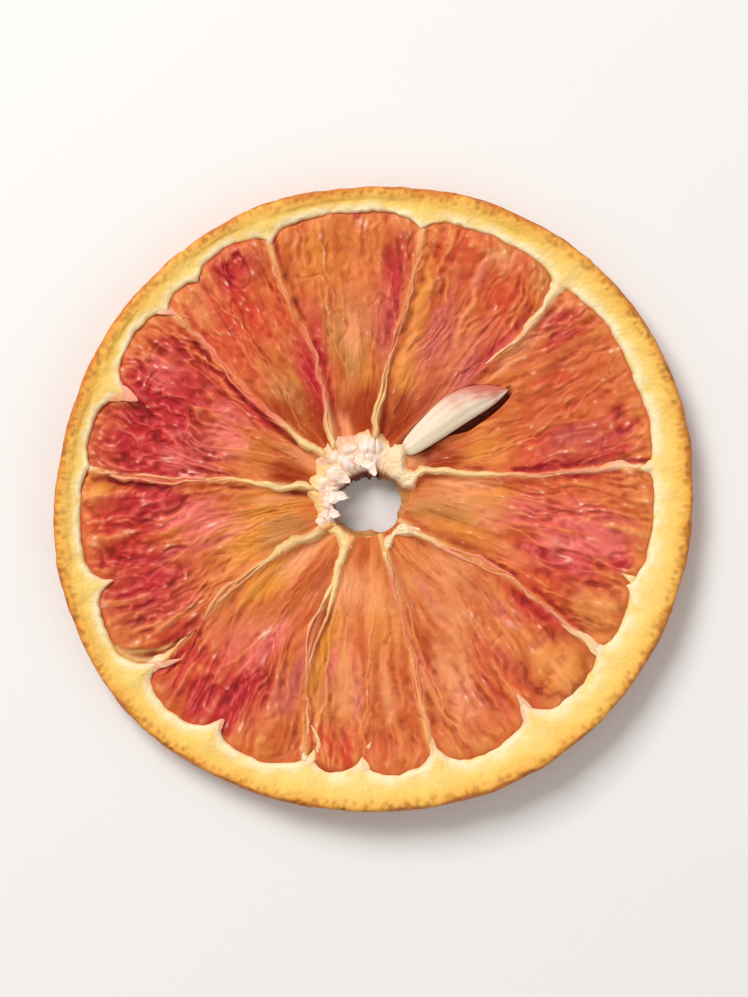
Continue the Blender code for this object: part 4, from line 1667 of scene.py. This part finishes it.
@dataclass(frozen=True)
class CorePith:
    """The pith round the hole, drawn out in points along the membranes.

    lips: angle, height, half angle and outward reach of each lump on its crown.
    slopes: angle and how far the hole's wall slopes in towards its foot.
    lumps: the torn lumps on its left side, each as x, y, half width and height.
    """

    columns: int = 900
    rows: int = 84
    point_length: float = 1.6
    point_half_angle: float = 6.5
    point_at: float = 7.0
    crown: float = 0.95
    shoulder: float = 0.7
    foot_inset: float = 0.5
    warp: float = 0.42
    lips: tuple = (
        (28, 0.45, 14, -0.2), (52, 0.45, 16, -0.6), (57, 0.15, 9, 1.7), (100, 0.2, 22, 0.0),
        (150, 0.2, 20, 0.0), (185, 0.2, 12, 0.0), (239, 0.25, 14, 0.7), (264, -0.35, 13, -0.7),
        (277, -0.3, 9, -0.4), (296, 0.45, 9, 0.8), (322, 0.5, 12, 1.2),
    )
    slopes: tuple = (
        (0, 1.1), (40, 0.4), (60, 0.65), (90, 0.8), (115, 0.7), (135, 0.3), (180, 0.3), (230, 0.5),
        (270, 1.0), (312, 0.2), (335, 0.7),
    )
    lumps: tuple = (
        (-0.5, 3.8, 1.5, 0.5), (-2.1, 3.9, 1.1, 0.4), (-2.4, 5.7, 1.2, 0.35), (-0.8, 5.6, 1.3, 0.42),
        (0.5, 5.5, 0.9, 0.25), (-3.9, 4.6, 1.1, 0.35), (-3.1, 2.4, 1.15, 0.55), (-3.6, 0.4, 1.35, 0.6),
        (-3.9, -0.9, 1.0, 0.4), (-4.8, 1.9, 0.8, 0.2), (-4.8, -1.9, 0.7, 0.3), (-2.6, 7.0, 0.7, 0.3),
    )

    def outer(self, angle: np.ndarray) -> tuple:
        """Outer edge, and how near a membrane is, from 0 to 1.

        The edge is the core's radius, drawn out exponentially to a point along each
        membrane and pushed out by the lips.

        Args:
            angle: angles round the core.

        Returns:
            The edge's radius, and the nearness.
        """
        near = np.zeros(np.shape(angle))
        for membrane in PLAN.membranes:
            at = PLAN.membrane_angle(membrane, PLAN.core_radius(angle))
            shown = 1.0 - 0.35 * membrane.sunk(np.array(self.point_at))
            near = np.maximum(near, shown * np.exp(-np.abs(turned(angle - at)) / self.point_half_angle))
        reach = self.point_length * near
        for place, _, half, out in self.lips:
            reach = reach + out * np.exp(-((turned(angle - place) / half) ** 2))
        return PLAN.core_radius(angle) - self.foot_inset + reach, near

    def torn(self, angle: np.ndarray, radius: np.ndarray) -> tuple:
        """Height of the torn lumps, their creases and where they stand, over the core.

        Each lump is a dome, 1 - d^2, over places that noise has warped. The highest counts
        at each place, a crease runs where the two highest are level, and shallow folds lie
        along the places where noise is 0.

        Args:
            angle, radius: places in plan.

        Returns:
            The height, the creases and folds as a mask that is painted as shade, and where the lumps stand as
            a mask.
        """
        east, north = radius * np.cos(np.radians(angle)), radius * np.sin(np.radians(angle))
        bent_x = east + self.warp * layered(east / 1.3, north / 1.3, 711, 3)
        bent_y = north + self.warp * layered(east / 1.3, north / 1.3, 713, 3)
        highest = np.zeros(radius.shape)
        following = np.zeros(radius.shape)
        for x, y, half, high in self.lumps:
            dome = high * (1.0 - ((bent_x - x) ** 2 + (bent_y - y) ** 2) / half**2)
            following = np.maximum(following, np.minimum(highest, dome))
            highest = np.maximum(highest, dome)
        creases = smooth(0.1, 0.0, highest - following) * smooth(0.02, 0.12, following)
        folds = ridge(noise(bent_x / 1.1, bent_y / 1.1, 717), 0.14)
        folds = folds + 0.5 * ridge(noise(bent_x / 0.6, bent_y / 0.6, 718), 0.2)
        height = highest - 0.12 * creases - 0.07 * folds
        return height, np.maximum(creases, 0.5 * folds), smooth(0.0, 0.12, highest)

    def build(self, material: bpy.types.Material) -> bpy.types.Object:
        """A closed ring: up the hole, over the lumps, down into the flesh and back below."""
        angle = np.linspace(0.0, 360.0, self.columns, endpoint=False)
        left = smooth(95.0, 65.0, np.abs(turned(angle - 142.0)))
        ragged = (0.06 + 0.1 * left) * layered(angle / 360 * 36, angle * 0, 701, 3, 36)
        around = np.linspace(0.0, 2 * math.pi, self.rows, endpoint=False)[:, None]
        share = (1 - np.cos(around)) / 2
        upward = np.sin(around)
        at, slope = np.array(self.slopes, float).T
        slope = np.interp(angle, at, slope, period=360.0)
        hole = PLAN.hole_radius(angle) + ragged - slope * smooth(0.5, -0.6, upward)
        outer, near = self.outer(angle)
        radius = hole + (outer - hole) * share
        turn = np.broadcast_to(angle / 360.0, radius.shape)
        lumps = layered(turn * 24, radius * 0.8, 702, 3, 24)
        crumpled = 0.3 - np.abs(noise(turn * 34, radius * 1.1, 705, 34))
        crumpled = crumpled - 0.4 * np.abs(noise(turn * 76, radius * 2.2, 706, 76))
        bumps, crease_shade, torn = self.torn(angle, radius)
        bare = smooth(31.0, 15.0, np.abs(turned(angle + 5.0)) + 3.0 * lumps)
        crown = self.crown + 0.08 * lumps + 0.05 * crumpled * (1.0 - left) + bumps - 0.6 * bare
        for place, high, half, _ in self.lips:
            crown = crown + high * np.exp(-((turned(angle - place) / half) ** 2))
        falling = smooth(1.0, 0.5 + 0.35 * near, share)
        height = np.sign(upward) * np.abs(upward) ** 0.6 * (self.shoulder + (crown - self.shoulder) * falling)
        height = np.where(upward < 0, height * 0.8, height)
        radius = radius + (0.03 + 0.07 * left) * layered(turn * 60, height * 1.2, 704, 2, 60)
        points = BED.place(polar(radius, np.broadcast_to(angle, radius.shape), height), PLAN)
        index = np.arange(radius.size).reshape(radius.shape)
        wall = smooth(0.3, 0.04, share) * smooth(1.0, 0.4, height)
        # Painted shade on the hole's wall under its overhanging top, about 125 degrees round.
        dark = wall * smooth(85.0, 40.0, np.abs(turned(angle - 125.0)))
        right = smooth(60.0, 35.0, np.abs(turned(angle - 42.0)))
        right = right + smooth(35.0, 15.0, np.abs(turned(angle - 315.0)))
        white = torn * (0.85 + 0.3 * lumps) + 0.45 * right * smooth(1.0, 0.6, share) * (1.0 - bare)
        # Painted shade in the creases between the torn lumps: less white, more rose and a little brown.
        white = white * (1.0 - 0.4 * crease_shade)
        rose = 0.5 * smooth(0.8, 1.0, share) * (1.0 - near) + 0.45 * crease_shade * torn * smooth(0.0, 0.2, share)
        rose = rose + 0.9 * bare
        tan = wall + 0.15 * smooth(0.2, -0.5, lumps) + 0.35 * bare
        # Brown is painted shade: on the wall under the top, low down the hole's wall, and in the creases.
        brown = 0.95 * dark + 0.25 * wall * smooth(0.5, -0.6, upward)
        brown = brown + 0.15 * crease_shade * torn * smooth(0.1, 0.3, share)
        paint = channels(rose, white, tan, brown)
        faces = [quads(index, True, True)]
        return make_piece("core_pith", points.reshape(-1, 3), faces, {"pith": paint}, material)


@dataclass(frozen=True)
class Flake:
    """A torn bit of pith: root and tip in plan, half width, heights of both, how much it is
    cream, how much it is stained rose, how far it bows to its left, and how much it narrows."""

    root: tuple
    tip: tuple
    half_width: float
    root_height: float = 1.1
    tip_height: float = 1.55
    cream: float = 0.0
    rose: float = 0.0
    bow: float = 0.0
    taper: float = 0.5


CORE_FLAKES = (
    # Over the top of the hole.
    Flake((-1.5, 5.0), (0.6, 2.7), 0.8, 1.1, 1.5),
    # Left of it.
    Flake((-4.3, 3.2), (-2.0, 1.9), 0.8, 1.1, 1.45),
    Flake((-4.9, 0.9), (-2.1, 0.5), 0.9, 1.1, 1.5),
    Flake((-4.6, -0.3), (-3.0, -1.3), 0.7, 1.0, 1.25, 0.0, 0.1),
    Flake((-5.3, -1.7), (-4.3, -2.4), 0.32, 0.8, 0.95, 0.3, 0.3),
    # The glint to the right, below it.
    Flake((4.9, -2.9), (2.9, -2.3), 0.3, 0.95, 1.3, 0.2),
)

RIM_FLAKES = (
    Flake((-26.4, 11.6), (-22.5, 9.6), 1.3, 1.25, 1.45, 1.0, 0.55, 0.0, 0.75),
    Flake((-25.4, 11.4), (-24.3, 13.1), 0.28, 1.15, 1.4, 0.5),
    Flake((-27.9, -8.6), (-24.8, -7.6), 0.8, 1.15, 1.25, 0.8, 0.1, 0.0, 0.85),
    Flake((-23.8, -17.6), (-18.0, -15.0), 0.85, 1.2, 1.3, 0.8, 0.4, 0.3, 0.95),
    Flake((-16.6, -23.6), (-14.0, -21.1), 1.1, 1.1, 1.25, 0.6, 0.45, 0.0, 0.8),
    Flake((-6.9, -26.5), (-5.7, -21.5), 0.32, 1.25, 1.35, 0.9, 0.1, -1.2),
    Flake((-6.3, -26.3), (-4.9, -23.7), 0.55, 1.1, 1.2, 1.0),
    Flake((-1.4, -27.0), (0.25, -23.2), 0.8, 1.2, 1.25, 0.8, 0.1, 0.0, 0.85),
    Flake((6.7, -26.4), (5.9, -22.6), 0.8, 1.2, 1.25, 0.9, 0.2, 0.1, 0.9),
    Flake((16.2, -22.4), (14.0, -18.5), 1.0, 1.15, 1.3, 0.7, 0.35, 0.0, 0.85),
    Flake((23.4, -15.2), (18.6, -11.6), 0.7, 1.2, 1.25, 0.8, 0.15, 0.0, 0.9),
    Flake((27.2, -8.2), (24.4, -6.9), 0.7, 1.2, 1.25, 0.9, 0.0, 0.0, 0.85),
    Flake((-20.8, 18.4), (-17.3, 17.7), 0.28, 1.25, 1.35, 0.6, 0.7, 0.2, 0.8),
)


@dataclass(frozen=True)
class Flakes:
    """Torn flakes of pith that stand up round the hole or lie over the edge of the flesh."""

    name: str
    flakes: tuple
    seed: int
    rows: int = 54
    columns: int = 48
    thickness: float = 0.1
    crumple: float = 0.24
    tear: float = 1.0

    def flake(self, number: int, flake: Flake) -> tuple:
        """One flake as a closed grid.

        A thin flat section runs along a bowed line. Noise that is folded over at 0 makes
        its torn outline and its sharp creases, and its sides and tip turn up.

        Args:
            number: its place in the list, which picks its noise.
            flake: its sizes.

        Returns:
            The points in plan, one row for each step to the tip, and the masks.
        """
        share = np.linspace(0.0, 1.0, self.rows)[:, None]
        around = np.linspace(0.0, 2 * math.pi, self.columns, endpoint=False)[None, :]
        seed = self.seed + 7 * number
        run_x, run_y = flake.tip[0] - flake.root[0], flake.tip[1] - flake.root[1]
        length = math.hypot(run_x, run_y)
        along = share * length + 0 * around
        girth = np.clip(1.0 - (2.0 * share - 1.0) ** 6, 0.0, 1.0) ** 0.5 * (1.0 - flake.taper * share**1.4)
        edge = np.sign(np.cos(around)) * np.abs(np.cos(around)) ** 0.6
        thin = self.tear * smooth(0.3, 0.6, flake.half_width) * (1.0 - 0.4 * flake.cream)
        torn = 1.0 + thin * (0.2 - 0.7 * np.abs(noise(along * 0.8, np.sign(edge) * 4.0, seed + 1)))
        torn = torn - 0.3 * thin * np.abs(noise(along * 2.2, np.sign(edge) * 4.0, seed + 2)) * np.abs(edge)
        beside = edge * flake.half_width * girth * torn + flake.bow * np.sin(np.pi * share**1.3)
        beside = beside + 0.3 * min(flake.half_width, 0.8) * noise(share * length * 0.6, share * 0, seed + 3)
        tip = 0.3 * thin * noise(edge * 1.6 + 9.0, share * 0.5, seed + 4) * smooth(0.6, 1.0, share)
        middle = flake.root_height + (flake.tip_height - flake.root_height) * share**0.8
        creased = np.abs(noise(along * 0.62 + 0.3 * beside, beside * 0.7 + 5.0, seed + 5))
        creased = creased + 0.3 * np.abs(noise(along * 1.6, beside * 1.4 + 5.0, seed + 6))
        size = self.crumple * min(flake.half_width / 0.7, 1.0) * (1.0 - 0.4 * flake.cream)
        arch = 0.12 * (1.0 - edge**2) * flake.cream * min(flake.half_width, 1.0)
        rise = size * (1.0 - 1.7 * creased) + 0.18 * edge**2 * share * thin + arch
        height = middle + rise * smooth(0.0, 0.25, share)
        height = height + np.sin(around) * self.thickness * (0.3 + 0.7 * girth)
        x = flake.root[0] + run_x * (share + tip / length) - run_y / length * beside
        y = flake.root[1] + run_y * (share + tip / length) + run_x / length * beside
        points = np.stack(np.broadcast_arrays(x, y, height), axis=-1)
        # Painted shade in the creases: less white, more rose on white flakes and tan on cream ones. The under
        # face is tan as well.
        valley_shade = smooth(0.3, 0.75, creased)
        pale = smooth(-0.1, 0.7, noise(along * 0.9, beside * 1.3, seed + 7))
        white = (1.0 - flake.cream * (1.0 - 0.5 * pale)) * smooth(-0.2, 0.3, share) * (1.0 - 0.3 * valley_shade)
        tan = 0.5 * smooth(0.0, -0.7, np.sin(around)) + 0.2 * valley_shade * flake.cream
        rose = flake.rose * (0.4 + share) + (1.0 - flake.cream) * 0.3 * valley_shade
        masks = [np.broadcast_to(mask, points.shape[:2]) for mask in (rose, white, tan)]
        return points, channels(*masks)

    def build(self, material: bpy.types.Material) -> bpy.types.Object:
        """Makes every flake, closed at its ends, as one piece."""
        points, paints, sides, caps, count = [], [], [], [], 0
        for number, flake in enumerate(self.flakes):
            grid, paint = self.flake(number, flake)
            index = count + np.arange(self.rows * self.columns).reshape(self.rows, self.columns)
            sides.append(quads(index, False, True)[:, ::-1])
            caps += [index[:1], index[-1:, ::-1]]
            points.append(grid.reshape(-1, 3))
            paints.append(paint)
            count += index.size
        placed = BED.place(np.concatenate(points), PLAN)
        faces = [np.concatenate(sides), np.concatenate(caps)]
        return make_piece(self.name, placed, faces, {"pith": np.concatenate(paints)}, material)


@dataclass(frozen=True)
class Seed:
    """The seed, a flattened spindle with a blunt end by the core and a drawn-out tip."""

    columns: int = 96
    rows: int = 150
    keel: float = 0.22
    arch: float = 0.12
    tilt: float = 0.18

    def build(self, material: bpy.types.Material) -> bpy.types.Object:
        """Carries an oval section along the seed, with fine lengthwise wrinkles."""
        share = 0.5 - 0.5 * np.cos(np.linspace(0.0, math.pi, self.rows))[:, None]
        around = np.linspace(0.0, 2 * math.pi, self.columns, endpoint=False)[None, :]
        line = share * 2.2 + 0 * around
        wrinkle = noise(line, around / (2 * math.pi) * 26 + 0 * share, 801)
        girth = SEED.girth(share) * (1.0 + 0.04 * wrinkle)
        beside = np.cos(around) * SEED.half_width * girth + SEED.middle(share)
        keel = self.keel * np.exp(-((np.cos(around) + 0.1) / 0.35) ** 2) * smooth(0.0, 0.3, np.sin(around))
        up = (np.sin(around) + keel) * SEED.half_thickness * girth
        start_x, start_y, along_x, along_y, length = SEED.line()
        x = start_x + share * length * along_x - beside * along_y
        y = start_y + share * length * along_y + beside * along_x
        z = SEED.height + up + self.arch * np.sin(np.pi * share) - self.tilt * np.cos(around) * girth
        points = BED.place(np.stack(np.broadcast_arrays(x, y, z), axis=-1), PLAN)
        shape = points.shape[:2]
        fibres = noise(share * 18.0 + np.cos(around) * 3.0, np.cos(around) * 6.0 - share * 5.0, 804)
        torn = np.cos(around) + 0.3 * noise(share * 9.0, around * 0.0, 803) + 0.2 * wrinkle + 0.3 * fibres
        film = smooth(0.25, 0.8, share) * smooth(-0.5, 1.2, torn + 0.5 * smooth(0.5, 0.85, share))
        film = np.maximum(film, 0.6 * smooth(0.75, 0.98, share) * smooth(-1.0, 0.2, torn))
        # Brown at both ends, and as painted shade along the right-hand edge by the slit.
        brown = 0.5 * smooth(0.06, 0.0, share) + 0.35 * smooth(0.95, 1.0, share)
        brown = brown + 0.3 * smooth(-0.75, -1.0, np.cos(around))
        streak = 0.5 + 0.5 * wrinkle
        masks = [np.broadcast_to(mask, shape) for mask in (film, brown, streak)]
        index = np.arange(shape[0] * shape[1]).reshape(shape)
        inner = quads(index[1:-1], False, True)
        start = np.stack([np.full(self.columns, index[0, 0]), index[1], np.roll(index[1], -1)], axis=1)
        stop = np.stack([np.full(self.columns, index[-1, 0]), np.roll(index[-2], -1), index[-2]], axis=1)
        used = np.concatenate([[index[0, 0]], index[1:-1].ravel(), [index[-1, 0]]])
        renumber = np.full(index.size, -1)
        renumber[used] = np.arange(len(used))
        faces = [renumber[inner], renumber[start], renumber[stop]]
        paint = channels(*masks)[used]
        return make_piece("seed", points.reshape(-1, 3)[used], faces, {"seed": paint}, material)


# ---- Studio ----


@dataclass(frozen=True)
class Lamp:
    """A square lamp: its place, its width, its power and its colour."""

    place: tuple
    size: float
    power: float
    colour: tuple


@dataclass(frozen=True)
class Studio:
    """Pale floor, soft light and a camera that looks straight down."""

    picture: tuple = (748, 997)
    filled: float = 0.86
    lens: float = 100.0
    sensor: float = 36.0
    floor_half: float = 3.0
    floor_colour: Colour = (0.86, 0.86, 0.86, 1.0)
    floor_roughness: float = 0.7
    key: Lamp = Lamp((-0.28, 0.36, 0.5), 0.3, 3.9, (1.0, 0.98, 0.95))
    fill: Lamp = Lamp((0.4, -0.3, 0.45), 0.5, 0.6, (1.0, 0.97, 0.92))
    sky: float = 0.40
    sky_colour: Colour = (1.0, 0.97, 0.93, 1.0)

    def floor(self) -> None:
        """A plane at the level that the slice lies on."""
        half = self.floor_half
        mesh = bpy.data.meshes.new("floor")
        corners = [(-half, -half, 0), (half, -half, 0), (half, half, 0), (-half, half, 0)]
        mesh.from_pydata(corners, [], [(0, 1, 2, 3)])
        shader = Shader("floor")
        mesh.materials.append(shader.finish(self.floor_colour, self.floor_roughness))
        plane = bpy.data.objects.new("floor", mesh)
        bpy.context.scene.collection.objects.link(plane)

    def light(self, name: str, lamp: Lamp) -> None:
        """Adds a lamp that faces the slice.

        Args:
            name: the lamp's name.
            lamp: its place, width, power and colour.
        """
        data = bpy.data.lights.new(name, "AREA")
        data.shape = "SQUARE"
        data.size = lamp.size
        data.energy = lamp.power
        data.color = lamp.colour
        holder = bpy.data.objects.new(name, data)
        x, y, z = lamp.place
        holder.location = lamp.place
        holder.rotation_euler = (math.atan2(math.hypot(x, y), z), 0.0, math.atan2(x, -y))
        bpy.context.scene.collection.objects.link(holder)

    def camera(self) -> None:
        """Straight above the middle of the slice, with the slice across most of the picture."""
        low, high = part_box("slice")
        wide, tall = self.picture
        span = (high[0] - low[0]) / self.filled
        distance = span * (tall / wide) * self.lens / self.sensor
        data = bpy.data.cameras.new("camera")
        data.lens = self.lens
        data.sensor_width = self.sensor
        data.sensor_fit = "AUTO"
        data.clip_start = 0.01
        holder = bpy.data.objects.new("camera", data)
        holder.location = ((low[0] + high[0]) / 2, (low[1] + high[1]) / 2, high[2] + distance)
        bpy.context.scene.collection.objects.link(holder)
        bpy.context.scene.camera = holder

    def build(self) -> None:
        """Sets the whole stage."""
        scene = bpy.context.scene
        scene.view_settings.view_transform = "Standard"
        world = bpy.data.worlds.new("studio")
        world.use_nodes = True
        background = world.node_tree.nodes["Background"]
        background.inputs["Color"].default_value = self.sky_colour
        background.inputs["Strength"].default_value = self.sky
        scene.world = world
        self.floor()
        self.light("key", self.key)
        self.light("fill", self.fill)
        self.camera()


# ---- The slice ----


def report(piece: bpy.types.Object) -> None:
    """Logs a piece's name and number of faces."""
    LOG.info("%s: %d faces", piece.name, len(piece.data.polygons))


def main() -> None:
    """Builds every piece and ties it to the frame."""
    logging.basicConfig(level=logging.INFO, format="%(name)s: %(message)s")
    Studio().build()
    flesh = FleshFinish().material()
    pith = PithFinish().material()
    pieces = [(RindRing().build(RindFinish().material()), "rind")]
    pieces += [(segment.build(flesh), "flesh") for segment in SEGMENTS]
    pieces.append((MembraneSkins().build(pith), "pith"))
    pieces.append((CorePith().build(pith), "pith"))
    pieces.append((Flakes("core_flakes", CORE_FLAKES, 600).build(pith), "pith"))
    pieces.append((Flakes("rim_flakes", RIM_FLAKES, 1600, crumple=0.12, tear=0.5).build(pith), "pith"))
    pieces.append((Seed().build(SeedFinish().material()), "seed"))
    for piece, slot in pieces:
        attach(piece, "root")
        report(piece)
    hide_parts("slice")


if __name__ == "__main__":
    main()
